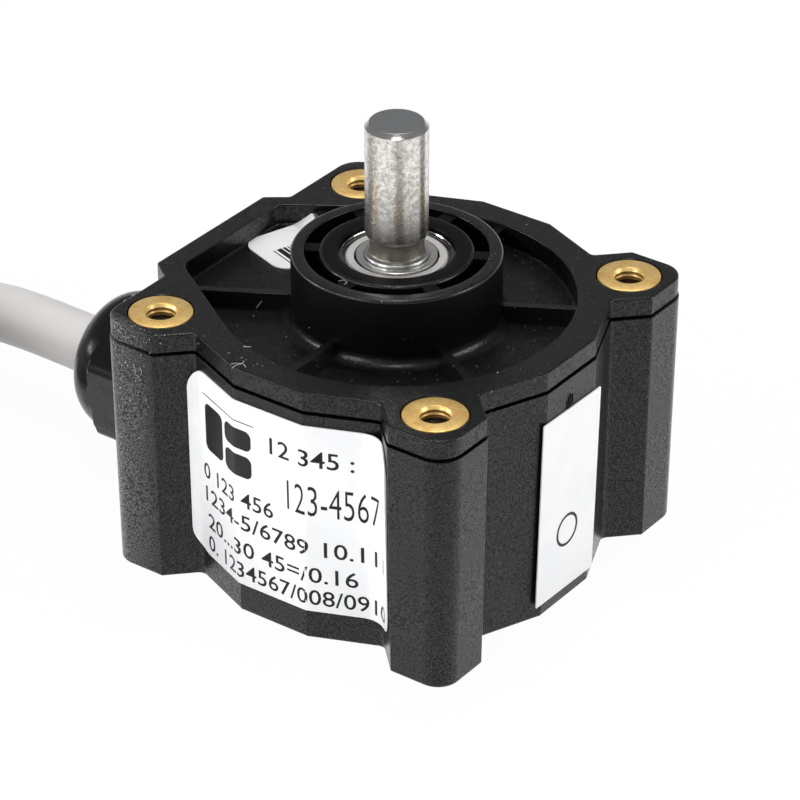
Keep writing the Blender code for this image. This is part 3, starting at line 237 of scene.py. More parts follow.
def smooth_route(points, spacing):
    """Points at about one spacing on a curve through points in millimetres."""
    points = [Vector(point) * MM for point in points]
    padded = [2 * points[0] - points[1], *points, 2 * points[-1] - points[-2]]
    route = []
    for before, start, end, after in zip(padded, padded[1:], padded[2:], padded[3:]):
        count = max(1, round((end - start).length / spacing))
        for i in range(count):
            t = i / count
            bend = (before * (-t + 2 * t ** 2 - t ** 3)
                    + start * (2 - 5 * t ** 2 + 3 * t ** 3)
                    + end * (t + 4 * t ** 2 - 3 * t ** 3)
                    + after * (t ** 3 - t ** 2))
            route.append(bend / 2)
    route.append(points[-1].copy())
    return route


def eased(turns, start):
    """0 before a move starts, 1 after it ends, and a soft rise between."""
    share = min(1.0, max(0.0, (turns - start) / COIL_MOVE_TURNS))
    return (1 - cos(pi * share)) / 2


def coil_place(turns, radius, height):
    """A place over the coil, some turns round from where the cable meets it."""
    angle = pi / 2 + 2 * pi * turns
    return Vector((COIL_CENTRE.x + radius * cos(angle),
                   COIL_CENTRE.y + radius * sin(angle), height))


def coil_point(turns):
    """Where the cable is after some turns.

    It moves in, climbs a layer, moves out, climbs again and moves in, each time
    a little earlier in the turn, so that no two lengths meet.
    """
    stage = 1 - COIL_MOVE_TURNS
    inward = eased(turns, stage) - eased(turns, 3 * stage) + eased(turns, 5 * stage)
    layer = eased(turns, 2 * stage) + eased(turns, 4 * stage)
    radius = COIL_OUTER_TURN - (COIL_OUTER_TURN - COIL_INNER_TURN) * inward
    return coil_place(turns, radius, CABLE_DIAMETER * (0.5 + layer))


def tube(name, points, radius, finish):
    """Round tube along some points, closed at both ends."""
    curve = bpy.data.curves.new(name, "CURVE")
    curve.dimensions = "3D"
    curve.bevel_depth = radius
    curve.bevel_resolution = 8 if radius > CORE_RADIUS else 3
    curve.use_fill_caps = True
    line = curve.splines.new("POLY")
    line.points.add(len(points) - 1)
    for spot, point in zip(line.points, points):
        spot.co = (*point, 1.0)
    line.use_smooth = True
    curve.materials.append(finish)
    piece = placed(name, curve)
    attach(piece, "case")
    return piece


def new_group(name, inputs, outputs):
    """A node group with named number sockets, and what it is given and puts out."""
    group = bpy.data.node_groups.new(name, "ShaderNodeTree")
    for way, names in (("INPUT", inputs), ("OUTPUT", outputs)):
        for socket in names:
            group.interface.new_socket(socket, in_out=way, socket_type="NodeSocketFloat")
    given = group.nodes.new("NodeGroupInput").outputs
    return group, given, group.nodes.new("NodeGroupOutput").inputs


cloud_noise, given, result = new_group("clouds", ["Size", "Detail", "Roughness"], ["Cloud"])
place = add_node(cloud_noise, "TexCoord").outputs["Object"]
noise = add_node(cloud_noise, "TexNoise", Vector=place, Scale=given["Size"],
                 Detail=given["Detail"], Roughness=given["Roughness"])
cloud_noise.links.new(noise.outputs["Fac"], result["Cloud"])


def clouds(tree, size, detail, roughness=0.5):
    """Cloudy noise that stays where it is on the piece."""
    return add_node(tree, "Group", settings={"node_tree": cloud_noise}, Size=size,
                    Detail=detail, Roughness=roughness).outputs["Cloud"]


def ramp(tree, value, *stops):
    """Colours that follow a value, from stops of a place and a colour."""
    node = add_node(tree, "ValToRGB", value)
    elements = node.color_ramp.elements
    for place, colour in stops[1:-1]:
        elements.new(place)
    for element, (place, colour) in zip(elements, stops):
        element.position = place
        element.color = colour
    return node.outputs["Color"]


def mixed(tree, share, first, second, blend="MIX"):
    """Two colours mixed, with some share of the second."""
    node = add_node(tree, "Mix", share, settings={"data_type": "RGBA", "blend_type": blend})
    feed(tree, node.inputs[6], first)
    feed(tree, node.inputs[7], second)
    return node.outputs[2]


def emboss(tree, shader, height, strength, depth):
    """Raise and sink the surface by a pattern."""
    bump = add_node(tree, "Bump", Height=height, Strength=strength, Distance=depth)
    tree.links.new(bump.outputs["Normal"], shader.inputs["Normal"])


def jacket_finish(name, colour, roughness):
    """Extruded soft plastic: faint clouds in its colour and a fine skin."""
    made, tree, shader = new_material(name, roughness)
    tint = rescaled(tree, clouds(tree, size=260.0, detail=3.0), 0.0, 1.0, *JACKET_TINTS)
    feed(tree, shader.inputs["Base Color"], mixed(tree, 1.0, colour, tint, "MULTIPLY"))
    emboss(tree, shader, clouds(tree, size=1800.0, detail=2.0), JACKET_RELIEF, JACKET_SKIN)
    return made


def two_toned(name, low, high, size, detail, roughness, metallic=0.0):
    """A plain finish whose clouds run between two tones."""
    made, tree, shader = new_material(name, roughness, metallic)
    tone = ramp(tree, clouds(tree, size, detail), low, high)
    feed(tree, shader.inputs["Base Color"], tone)
    return made, shader


cable_points = [CABLE_START] + smooth_route(CABLE_ROUTE, CABLE_DIAMETER / 2)
for i in range(round(COIL_TURNS * COIL_TURN_POINTS) + 1):
    cable_points.append(coil_point(i / COIL_TURN_POINTS))
jacket = jacket_finish("grey_jacket", JACKET_COLOUR, 0.42)
cable = tube("cable", cable_points, CABLE_DIAMETER / 2, jacket)

tinned, shader = two_toned("tinned_copper", (0.0, TIN_DULL), (1.0, TIN_PALE),
                           size=6000.0, detail=2.0, roughness=0.35, metallic=1.0)

for number, (colour_name, colour) in enumerate(CORE_COLOURS):
    spread = (number - (len(CORE_COLOURS) - 1) / 2) * CORE_SPREAD
    core = []
    for i in range(CORE_POINTS + 1):
        share = i / CORE_POINTS
        turns = COIL_TURNS - CORE_HIDDEN + (CORE_TURNS + CORE_HIDDEN) * share
        radius = COIL_INNER_TURN + spread * (CORE_BUNDLE + (1 - CORE_BUNDLE) * share)
        drop = (CABLE_DIAMETER / 2 - CORE_RADIUS) * (1 + cos(pi * share)) / 2
        core.append(coil_place(turns, radius, 2 * CABLE_DIAMETER + CORE_RADIUS + drop))
    finish = jacket_finish(f"{colour_name}_core", colour, 0.4)
    tube(f"core_{colour_name}", core[:-CORE_TIP_POINTS], CORE_RADIUS, finish)
    tube(f"core_tip_{number + 1}", core[-CORE_TIP_POINTS - 1:],
                           CORE_TIP_RADIUS, tinned)

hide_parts("cable_tube", "cable_coil")


# Housing
# The deep half of the case, moulded in black glass-filled plastic: sixteen
# drafted facets, four corner posts and a flat bulge for the gland.
CASE_WIDTH = 40.0 * MM
CASE_SIDES = 16
EAR_WIDTH = 9.26 * MM
EAR_TIP_RADIUS = 2.6 * MM
EDGE_RADIUS = 0.5 * MM
BULGE_WIDTH = 16.6 * MM
BULGE_DEPTH = 2.15 * MM
BULGE_CHAMFER = 1.6 * MM
BULGE_OFFSET = -0.4 * MM
DRAFT = 0.35 * MM
HOUSING_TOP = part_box("housing_shell")[1][2]
BASE_FILLET = 0.3 * MM
SEAM_FILLET = 0.08 * MM
INSERT_PLACE = 15.8 * MM
SCREW_HOLE_RADIUS = 3.05 * MM
SCREW_HOLE_DEPTH = 3.5 * MM
POCKET_RADIUS = 17.05 * MM
POCKET_SPREAD = radians(123.0)
POCKET_END = 19.8 * MM
POCKET_CORNER = 1.6 * MM
OPENING_STEP_OUT = 0.4 * MM
OPENING_FLOOR = 5.5 * MM
HOLE_CHAMFER = 0.1 * MM
POCKET_STEPS = 96
CORNER_STEPS = 6
ARC_STEP = radians(9.0)
TIGHTEST_ARC = 0.02 * MM
CORNERS = ((-1, -1), (1, -1), (1, 1), (-1, 1))
CASE_HALF = CASE_WIDTH / 2
FACET_HALF = CASE_HALF * tan(pi / CASE_SIDES)
FACET_SLOPE = tan(2 * pi / CASE_SIDES)
EAR_BAND = EAR_WIDTH / sqrt(2)
EAR_NEAR = (CASE_HALF + FACET_SLOPE * FACET_HALF - EAR_BAND) / (1 + FACET_SLOPE)
EAR_FAR = EAR_NEAR + EAR_BAND
PLASTIC_COLOUR = (0.002, 0.002, 0.0021, 1.0)
SPECK_COLOUR = (0.2, 0.2, 0.2, 1.0)
SPECK_SIZE = 1700.0
SPECK_WIDTHS = (0.3, 1.0, 0.0, 0.17)
GRAIN_DETAIL = 3.0
GRAIN_ROUGHNESS = 0.7
GRAIN_EDGES = (0.43, 0.57)
GRAIN_RELIEF = 0.6
DUSTY_SIDE = (-13.6 * MM, -20.4 * MM)
DUSTY_FRONT = (-18.3 * MM, -19.6 * MM)


def swung(start, centre, turn, steps):
    """Points on an arc that a start makes when it turns about a centre."""
    return [centre + Matrix.Rotation(turn * i / steps, 2) @ (start - centre)
            for i in range(steps + 1)]


def rounded(corners, inset):
    """Outline of a polygon of (x, y, radius) corners, moved inward."""
    outline = []
    count = len(corners)
    for i, (x, y, radius) in enumerate(corners):
        here = Vector((x, y))
        before = (here - Vector(corners[i - 1][:2])).normalized()
        after = (Vector(corners[(i + 1) % count][:2]) - here).normalized()
        turn = atan2(before.cross(after), before.dot(after))
        inward = Vector((-before.y, before.x)) + Vector((-after.y, after.x))
        corner = here + inward * (inset / (1 + before.dot(after)))
        side = 1.0 if turn > 0 else -1.0
        arc = max(TIGHTEST_ARC, radius - side * inset)
        start = corner - before * (arc * tan(abs(turn) / 2))
        centre = start + Vector((-before.y, before.x)) * side * arc
        steps = max(3, ceil(abs(turn) / ARC_STEP))
        outline += [tuple(point) for point in swung(start, centre, turn, steps)]
    return outline


def case_outline(inset):
    """The case seen from above: sixteen facets, four ears and the bulge."""
    half, facet, edge = CASE_HALF, FACET_HALF, EDGE_RADIUS
    right = [(half, facet, edge), (EAR_FAR, EAR_NEAR, edge), (half, half - EAR_BAND, edge),
             (half, half, EAR_TIP_RADIUS),
             (half - EAR_BAND, half, edge), (EAR_NEAR, EAR_FAR, edge), (facet, half, edge)]
    left = [(-x, y, r) for x, y, r in reversed(right[3:])]
    bulge = BULGE_WIDTH / 2
    left += [(-half, BULGE_OFFSET + bulge + BULGE_CHAMFER, edge),
             (-half - BULGE_DEPTH, BULGE_OFFSET + bulge, edge),
             (-half - BULGE_DEPTH, BULGE_OFFSET - bulge, edge),
             (-half, BULGE_OFFSET - bulge - BULGE_CHAMFER, edge)]
    left += [(-x, -y, r) for x, y, r in right[3:]]
    below = [(x, -y, r) for x, y, r in reversed(right)]
    return rounded(right + left + below, inset)


def pocket_outline(inset):
    """Round the shaft, then straight off at both sides to a flat end."""
    radius = POCKET_RADIUS - inset
    points = []
    for i in range(POCKET_STEPS + 1):
        angle = POCKET_SPREAD * (2 * i / POCKET_STEPS - 1)
        points.append(Vector((radius * cos(angle), radius * sin(angle))))
    along = Vector((-sin(POCKET_SPREAD), cos(POCKET_SPREAD)))
    corner = points[-1] + along * ((POCKET_END - inset + points[-1].x) / -along.x)
    turn = acos(-along.y)
    start = corner - along * (POCKET_CORNER * tan(turn / 2))
    centre = start + Vector((-along.y, along.x)) * POCKET_CORNER
    arc = swung(start, centre, turn, CORNER_STEPS)
    points += arc + [Vector((p.x, -p.y)) for p in reversed(arc)]
    return [tuple(p) for p in points]


def circle(radius, centre=(0.0, 0.0), count=48):
    """An outline function for a circle, like case_outline for the case."""
    def outline(inset):
        angles = [2 * pi * i / count for i in range(count)]
        return [(centre[0] + (radius - inset) * cos(a),
                 centre[1] + (radius - inset) * sin(a)) for a in angles]
    return outline


def raise_walls(shape, outline, levels):
    """Pull an outline up into walls; levels are (inset, height) pairs."""
    inset, height = levels[0]
    ring = [shape.verts.new((x, y, height)) for x, y in outline(inset)]
    first = [shape.edges.new((ring[i - 1], ring[i])) for i in range(len(ring))]
    edges = first
    for inset, height in levels[1:]:
        grown = bmesh.ops.extrude_edge_only(shape, edges=edges)["geom"]
        fresh = {part for part in grown if isinstance(part, bmesh.types.BMVert)}
        ring = [next(edge.other_vert(vert) for edge in vert.link_edges
                     if edge.other_vert(vert) in fresh) for vert in ring]
        for vert, (x, y) in zip(ring, outline(inset)):
            vert.co = (x, y, height)
        edges = [shape.edges.get((ring[i - 1], ring[i])) for i in range(len(ring))]
    return first, edges


def strip_round(outline, thickness, low, high):
    """A strip all round the inside of an outline, between two heights."""
    shape = bmesh.new()
    raise_walls(shape, outline, [
        (0, low), (0, high), (thickness, high), (thickness, low), (0, low)])
    bmesh.ops.remove_doubles(shape, verts=shape.verts, dist=1e-7)
    return shape


def arc_levels(inset, height, radius, first, last, steps=4):
    """Levels on an arc about a point, with 0 degrees outward and 90 up."""
    levels = []
    for i in range(steps + 1):
        angle = radians(first + (last - first) * i / steps)
        levels.append((inset - radius * cos(angle),
                       height + radius * sin(angle)))
    return levels


def close_face(shape, *loops):
    """Fill the flat face between an outer loop and the holes in it."""
    edges = [edge for loop in loops for edge in loop]
    bmesh.ops.triangle_fill(shape, use_beauty=True, use_dissolve=False, edges=edges)


def set_up(name, shape, finish, nodes=(), body="case", sharp=35.0):
    """Make the piece's object, shade it and hide the frame's pieces it stands for."""
    bmesh.ops.recalc_face_normals(shape, faces=shape.faces)
    mesh = bpy.data.meshes.new(name)
    shape.to_mesh(mesh)
    shape.free()
    mesh.shade_smooth()
    mesh.set_sharp_from_angle(angle=radians(sharp))
    mesh.materials.append(finish)
    piece = placed(name, mesh)
    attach(piece, body)
    if nodes:
        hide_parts(*nodes)
    return piece


def refinish(material, *nodes):
    """Give pieces of the frame that keep their shape a finish of their own."""
    for node in nodes:
        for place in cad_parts[node].material_slots:
            place.material = material


def flat_faces(piece):
    """Keep large flat faces flat where they meet a rounded edge."""
    piece.modifiers.new("flat_faces", "WEIGHTED_NORMAL").keep_sharp = True


moulded_grain, given, result = new_group("moulded_grain", ["Size"], ["Grain", "Specks", "Dust"])
place = add_node(moulded_grain, "TexCoord").outputs["Object"]
noise = add_node(moulded_grain, "TexNoise", Vector=place, Scale=given["Size"],
                 Detail=GRAIN_DETAIL, Roughness=GRAIN_ROUGHNESS)
grain = rescaled(moulded_grain, noise.outputs["Fac"], *GRAIN_EDGES)
dots = add_node(moulded_grain, "TexVoronoi", Vector=place, Scale=SPECK_SIZE).outputs
speck_width = rescaled(moulded_grain, dots["Color"], *SPECK_WIDTHS)
specks = maths(moulded_grain, "LESS_THAN", dots["Distance"], speck_width)
spot = add_node(moulded_grain, "SeparateXYZ", place).outputs
dusty = maths(moulded_grain, "MULTIPLY", rescaled(moulded_grain, spot["X"], *DUSTY_SIDE),
              rescaled(moulded_grain, spot["Y"], *DUSTY_FRONT))
dust = maths(moulded_grain, "MULTIPLY", dusty, grain)
for name, value in (("Grain", grain), ("Specks", specks), ("Dust", dust)):
    moulded_grain.links.new(value, result[name])


def moulded_plastic(name, colour, roughness, grain_size, grain_depth, shine, coat, specks):
    """Black plastic: its skin shines in grains, and pale specks lie in it."""
    made, tree, shader = new_material(name, roughness)
    shader.inputs["Specular IOR Level"].default_value = shine
    shader.inputs["Coat Roughness"].default_value = roughness
    grain = add_node(tree, "Group", settings={"node_tree": moulded_grain}, Size=grain_size)
    fibres = maths(tree, "MULTIPLY", grain.outputs["Specks"], specks)
    pale = maths(tree, "MAXIMUM", fibres, grain.outputs["Dust"])
    skin = grain.outputs["Grain"]
    feed(tree, shader.inputs["Base Color"], mixed(tree, pale, colour, SPECK_COLOUR))
    feed(tree, shader.inputs["Coat Weight"], rescaled(tree, skin, 0.0, 1.0, 0.0, coat))
    emboss(tree, shader, skin, GRAIN_RELIEF, grain_depth)
    return made


case_plastic = moulded_plastic("case_plastic", PLASTIC_COLOUR, roughness=0.27,
                               grain_size=6200.0, grain_depth=0.016 * MM,
                               shine=0.19, coat=0.88, specks=0.35)

shape = bmesh.new()
levels = arc_levels(DRAFT + BASE_FILLET, BASE_FILLET, BASE_FILLET, -90, 0)
levels += arc_levels(SEAM_FILLET, HOUSING_TOP - SEAM_FILLET, SEAM_FILLET, 0, 90)
base_loop, top_loop = raise_walls(shape, case_outline, levels)
opening_top, opening_end = raise_walls(shape, pocket_outline, [
    (-OPENING_STEP_OUT, HOUSING_TOP), (-OPENING_STEP_OUT, OPENING_FLOOR)])
close_face(shape, top_loop, opening_top)
close_face(shape, opening_end)
hole_loops = []
for side_x, side_y in CORNERS:
    hole = circle(SCREW_HOLE_RADIUS, (side_x * INSERT_PLACE, side_y * INSERT_PLACE))
    mouth, end = raise_walls(shape, hole, [(-HOLE_CHAMFER, 0.0), (0.0, HOLE_CHAMFER),
                                           (0.0, SCREW_HOLE_DEPTH)])
    close_face(shape, end)
    hole_loops.append(mouth)
close_face(shape, base_loop, *hole_loops)
housing = set_up("case_housing", shape, case_plastic, ["housing_shell"])
flat_faces(housing)


# Flange cover
# The shallow half of the case: a rim round a sunk floor with six ribs, and the
# pilot boss, whose bearing seat hangs on six spokes across a ring-shaped slot.
COVER_BOTTOM = 24.92 * MM
FLANGE_TOP = 26.82 * MM
COVER_STEP_IN = 0.1 * MM
RIM_FILLET = 0.2 * MM
POCKET_FLOOR = 24.59 * MM
POCKET_LIP = 0.12 * MM
POCKET_FOOT = 0.3 * MM
SPIGOT_BOTTOM = 22.59 * MM
SPIGOT_STEP_OUT = 0.25 * MM
SEAT_RADIUS = 3.2 * MM
SEAT_FLOOR = 25.62 * MM
BOSS_TOP = 31.59 * MM
BOSS_RADIUS = 10.0 * MM
BOSS_FOOT = 1.1 * MM
BOSS_EDGE = 0.32 * MM
SLOT_OUTER = 8.7 * MM
SLOT_INNER = 7.34 * MM
SLOT_FLOOR = 25.5 * MM
SLOT_EDGE = 0.12 * MM
SEAT_EDGE = 0.32 * MM
LIP_RADIUS = 5.55 * MM
BORE_RADIUS = 6.05 * MM
LIP_UNDERSIDE = 31.15 * MM
TUBE_RADIUS = 7.6 * MM
TUBE_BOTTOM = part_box("flange_cover")[0][2]
RIB_COUNT = 6
RIB_WIDTH = 0.8 * MM
RIB_TOP = 26.29 * MM
SPOKE_WIDTH = 1.5 * MM
SPOKE_TOP = 31.39 * MM
RIB_EDGE = 0.08 * MM
SPOKE_EDGE = 0.1 * MM
BAR_OVERLAP = 0.4 * MM
SEAT_CHAMFER = 0.06 * MM
TOLERANCE = 0.01 * MM
RIM_EDGE_LEAN = 0.15
SEAT_EDGE_LEANS = (0.1, 0.99)
BOSS_SHADED_COLOUR = (0.0015, 0.0015, 0.0015, 1.0)


def bar(shape, size, centre, angle, edge):
    """A straight bar with rounded edges, turned about the shaft's axis."""
    place = Matrix.Rotation(angle, 4, "Z") @ Matrix.Translation(centre)
    made = bmesh.ops.create_cube(
        shape, size=1.0, matrix=place @ Matrix.Diagonal((*size, 1.0)))
    edges = {e for v in made["verts"] for e in v.link_edges}
    bmesh.ops.bevel(shape, geom=list(edges), offset=edge, segments=2,
                    affect="EDGES", profile=0.5, material=-1)


shape = bmesh.new()
outer = COVER_STEP_IN
levels = arc_levels(outer + SEAM_FILLET, COVER_BOTTOM + SEAM_FILLET, SEAM_FILLET, -90, 0)
levels += arc_levels(outer + RIM_FILLET, FLANGE_TOP - RIM_FILLET, RIM_FILLET, 0, 90)
under_loop, rim_loop = raise_walls(shape, case_outline, levels)

levels = arc_levels(-POCKET_LIP, FLANGE_TOP - POCKET_LIP, POCKET_LIP, 90, 180)
levels += arc_levels(POCKET_FOOT, POCKET_FLOOR + POCKET_FOOT, POCKET_FOOT, 0, -90)
lip_loop, floor_loop = raise_walls(shape, pocket_outline, levels)

seat_loops = []
for side_x, side_y in CORNERS:
    seat = circle(SEAT_RADIUS, (side_x * INSERT_PLACE, side_y * INSERT_PLACE), 64)
    mouth, end = raise_walls(shape, seat, [
        (-SEAT_CHAMFER, FLANGE_TOP), (0.0, FLANGE_TOP - SEAT_CHAMFER), (0.0, SEAT_FLOOR)])
    close_face(shape, end)
    seat_loops.append(mouth)
close_face(shape, rim_loop, lip_loop, *seat_loops)

foot = BOSS_RADIUS + BOSS_FOOT
boss = [(BOSS_FOOT * sin(radians(angle)),
         POCKET_FLOOR + BOSS_FOOT * (1 - cos(radians(angle))))
        for angle in range(0, 91, 15)]
boss += arc_levels(foot - BOSS_RADIUS + BOSS_EDGE, BOSS_TOP - BOSS_EDGE, BOSS_EDGE, 0, 90)
boss += arc_levels(foot - SLOT_OUTER - SLOT_EDGE, BOSS_TOP - SLOT_EDGE, SLOT_EDGE, 90, 180, 3)
boss += [(foot - SLOT_OUTER, SLOT_FLOOR), (foot - SLOT_INNER, SLOT_FLOOR)]
boss += arc_levels(foot - SLOT_INNER + SEAT_EDGE, BOSS_TOP - SEAT_EDGE, SEAT_EDGE, 0, 90)
boss += arc_levels(foot - LIP_RADIUS - SLOT_EDGE, BOSS_TOP - SLOT_EDGE, SLOT_EDGE, 90, 180, 3)
boss += [(foot - LIP_RADIUS, LIP_UNDERSIDE), (foot - BORE_RADIUS, LIP_UNDERSIDE),
         (foot - BORE_RADIUS, TUBE_BOTTOM), (foot - TUBE_RADIUS, TUBE_BOTTOM),
         (foot - TUBE_RADIUS, SPIGOT_BOTTOM)]
foot_loop, tube_loop = raise_walls(shape, circle(foot, count=128), boss)
close_face(shape, floor_loop, foot_loop)

spigot_top, spigot_end = raise_walls(shape, pocket_outline, [
    (-SPIGOT_STEP_OUT, COVER_BOTTOM), (-SPIGOT_STEP_OUT, SPIGOT_BOTTOM)])
close_face(shape, under_loop, spigot_top)
close_face(shape, spigot_end, tube_loop)

for i in range(RIB_COUNT):
    angle = 2 * pi * (i + 0.5) / RIB_COUNT
    past = abs(remainder(angle, 2 * pi)) - POCKET_SPREAD
    reach = POCKET_RADIUS / cos(max(0.0, past))
    for near, far, low, high, width, edge in (
            (BOSS_RADIUS, reach, POCKET_FLOOR, RIB_TOP, RIB_WIDTH, RIB_EDGE),
            (SLOT_INNER, SLOT_OUTER, SLOT_FLOOR, SPOKE_TOP, SPOKE_WIDTH, SPOKE_EDGE)):
        length = far - near + 2 * BAR_OVERLAP
        low -= BAR_OVERLAP
        bar(shape, (length, width, high - low), ((far + near) / 2, 0, (high + low) / 2),
            angle, edge)
cover = set_up("case_cover", shape, case_plastic, ["flange_cover"])
flat_faces(cover)
# The boss wall's own smoother skin, with a colour a touch darker than the case's as painted shade.
boss_plastic = moulded_plastic("boss_plastic", BOSS_SHADED_COLOUR, roughness=0.4, grain_size=9000.0,
                               grain_depth=0.006 * MM, shine=0.1, coat=0.08, specks=0.1)
cover.data.materials.append(boss_plastic)
for face in cover.data.polygons:
    radius = face.center.xy.length
    flattest, steepest = SEAT_EDGE_LEANS
    rim_edge = radius > SLOT_OUTER and abs(face.normal.z) > RIM_EDGE_LEAN
    seat_edge = (SLOT_INNER - SEAT_EDGE < radius < SLOT_INNER
                 and flattest < face.normal.z < steepest)
    if radius < BOSS_RADIUS + TOLERANCE and not (rim_edge or seat_edge):
        face.material_index = 1


# Threaded inserts
# Turned brass bushes pressed into the four ears, with a flat flange flush with
# the rim and the rings of an M3 thread inside the mouth.
INSERT_FLANGE_RADIUS = 3.05 * MM
INSERT_FLANGE_UNDER = 25.92 * MM
INSERT_BODY_RADIUS = 2.3 * MM
INSERT_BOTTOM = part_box("threaded_insert_1")[0][2]
THREAD_OUTER = 1.56 * MM
THREAD_INNER = 1.4 * MM
THREAD_CREST = 1.47 * MM
THREAD_PITCH = 0.5 * MM
THREAD_MOUTH = 1.62 * MM
MOUTH_BOTTOM = FLANGE_TOP - 0.36 * MM
FLANGE_EDGE = 0.1 * MM
FLANGE_EDGE_FALL = 0.03 * MM
BLOTCH_DETAIL = 7.0
BLOTCH_ROUGHNESS = 0.8
BLOTCH_EDGES = (0.38, 0.58)
BLOTCH_RELIEF = 0.5
GLOSS_EDGES = (0.35, 0.65)
GLOSS_SPREAD = 0.08
MOUTH_EDGE = 0.08 * MM
THREAD_TURN = (
    (THREAD_CREST, 0.0), (THREAD_INNER, 0.3), (THREAD_OUTER, 0.4), (THREAD_OUTER, 0.5))
BRASS_COLOUR = (0.98, 0.7, 0.27, 1.0)
BRASS_STAIN = (0.7, 0.43, 0.14, 1.0)
# Dark brown, painted as the shade deep between the thread's crests.
BRASS_GROOVE_PAINTED_SHADE = (0.26, 0.15, 0.045, 1.0)


def turned(profile, place=None, steps=96):
    """Spin a closed outline of (radius, height) points round the Z axis."""
    shape = bmesh.new()
    points = [shape.verts.new((r, 0.0, z)) for r, z in profile]
    edges = [shape.edges.new((a, b)) for a, b in zip(points, points[1:])]
    if min(r for r, z in profile) > 0.0:
        edges.append(shape.edges.new((points[-1], points[0])))
    bmesh.ops.spin(shape, geom=points + edges, cent=(0, 0, 0), axis=(0, 0, 1),
                   angle=2 * pi, steps=steps, use_merge=True)
    bmesh.ops.remove_doubles(shape, verts=shape.verts, dist=1e-7)
    if place is not None:
        bmesh.ops.transform(shape, matrix=place, verts=shape.verts)
    return shape


def axis_angle(tree):
    """The angle of each point round the Z axis."""
    place = add_node(tree, "TexCoord").outputs["Object"]
    spot = add_node(tree, "SeparateXYZ", place).outputs
    return maths(tree, "ARCTAN2", spot["Y"], spot["X"])


def mottled(name, dull, pale, size, depth, roughness, metallic=1.0, streaks_and_reflections=None):
    """Two tones in blotches that reach the gloss as well, with bands round the axis or none."""
    made, tree, shader = new_material(name, roughness, metallic)
    blotch = clouds(tree, size, BLOTCH_DETAIL, BLOTCH_ROUGHNESS)
    tone = ramp(tree, blotch, *zip(BLOTCH_EDGES, (dull, pale)))
    if streaks_and_reflections:
        share = rescaled(tree, axis_angle(tree), -pi, pi)
        tone = mixed(tree, 1.0, tone, ramp(tree, share, *streaks_and_reflections), "MULTIPLY")
    feed(tree, shader.inputs["Base Color"], tone)
    gloss = rescaled(tree, blotch, *GLOSS_EDGES, roughness + GLOSS_SPREAD,
                     roughness - GLOSS_SPREAD)
    feed(tree, shader.inputs["Roughness"], gloss)
    emboss(tree, shader, blotch, BLOTCH_RELIEF, depth)
    return made


brass = mottled("turned_brass", BRASS_STAIN, BRASS_COLOUR, size=700.0, depth=0.01 * MM,
                roughness=0.46, metallic=0.8)
thread_brass = mottled("thread_brass", BRASS_STAIN, BRASS_COLOUR, size=1500.0, depth=0.002 * MM,
                       roughness=0.4, metallic=0.5)
painted_shade_brass = mottled("painted_shade_brass", BRASS_GROOVE_PAINTED_SHADE, BRASS_GROOVE_PAINTED_SHADE, size=1500.0, depth=0.002 * MM,
                       roughness=0.4, metallic=0.5)

profile = [(INSERT_BODY_RADIUS, INSERT_BOTTOM),
           (INSERT_BODY_RADIUS, INSERT_FLANGE_UNDER),
           (INSERT_FLANGE_RADIUS, INSERT_FLANGE_UNDER),
           (INSERT_FLANGE_RADIUS, FLANGE_TOP - FLANGE_EDGE),
           (INSERT_FLANGE_RADIUS - FLANGE_EDGE_FALL, FLANGE_TOP - FLANGE_EDGE_FALL),
           (INSERT_FLANGE_RADIUS - FLANGE_EDGE, FLANGE_TOP),
           (THREAD_MOUTH, FLANGE_TOP),
           (THREAD_MOUTH - MOUTH_EDGE, FLANGE_TOP - MOUTH_EDGE),
           (THREAD_INNER, MOUTH_BOTTOM),
           (THREAD_OUTER, MOUTH_BOTTOM - 0.1 * THREAD_PITCH),
           (THREAD_OUTER, MOUTH_BOTTOM - 0.2 * THREAD_PITCH)]
height = MOUTH_BOTTOM - 0.7 * THREAD_PITCH
while height > INSERT_BOTTOM + 2 * THREAD_PITCH:
    profile += [(radius, height - share * THREAD_PITCH) for radius, share in THREAD_TURN]
    height -= THREAD_PITCH
profile.append((THREAD_INNER, INSERT_BOTTOM))
for number, (side_x, side_y) in enumerate(CORNERS, start=1):
    axis = Vector((side_x, side_y, 0)) * INSERT_PLACE
    shape = turned(profile, Matrix.Translation(axis), 64)
    insert = set_up(f"brass_insert_{number}", shape, brass,
                    [f"threaded_insert_{number}"])
    insert.data.materials.append(thread_brass)
    insert.data.materials.append(painted_shade_brass)
    for face in insert.data.polygons:
        radius = (face.center.xy - axis.xy).length
        if radius < THREAD_OUTER:
            # Faces deep in the thread's grooves take the painted shade, and the crests keep the
            # brass.
            shaded_groove = radius > (THREAD_INNER + THREAD_CREST) / 2 + TOLERANCE
            face.material_index = 2 if shaded_groove and face.center.z < MOUTH_BOTTOM else 1


# Shaft
# Six millimetres of stainless steel, centreless ground: a chamfered end, a
# neck turned down above the bearing, with painted shade under its step, and a
# small shoulder on the inner ring.
SHAFT_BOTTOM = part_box("shaft")[0][2]
SHAFT_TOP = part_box("shaft")[1][2]
SHAFT_RADIUS = 3.0 * MM
SHAFT_CHAMFER = 0.42 * MM
NECK_RADIUS = 2.6 * MM
NECK_TOP = 33.07 * MM
NECK_ROUNDING = 0.85 * MM
NECK_BEAD = 0.02 * MM
SHOULDER_RADIUS = 3.07 * MM
SHOULDER_TOP = 31.5 * MM
SHOULDER_BOTTOM = 31.14 * MM
SHOULDER_FALL = ((0.0, 0.18), (0.06, 0.1))
SHOULDER_FOOT = 0.08 * MM
NECK_FOOT = 0.12 * MM
END_EDGE = 0.06 * MM
TINY_EDGE = 0.03 * MM
ROUNDING_STEPS = 8
STEEL_PALE = (0.97, 0.95, 0.92, 1.0)
STEEL_DULL = (0.47, 0.44, 0.4, 1.0)
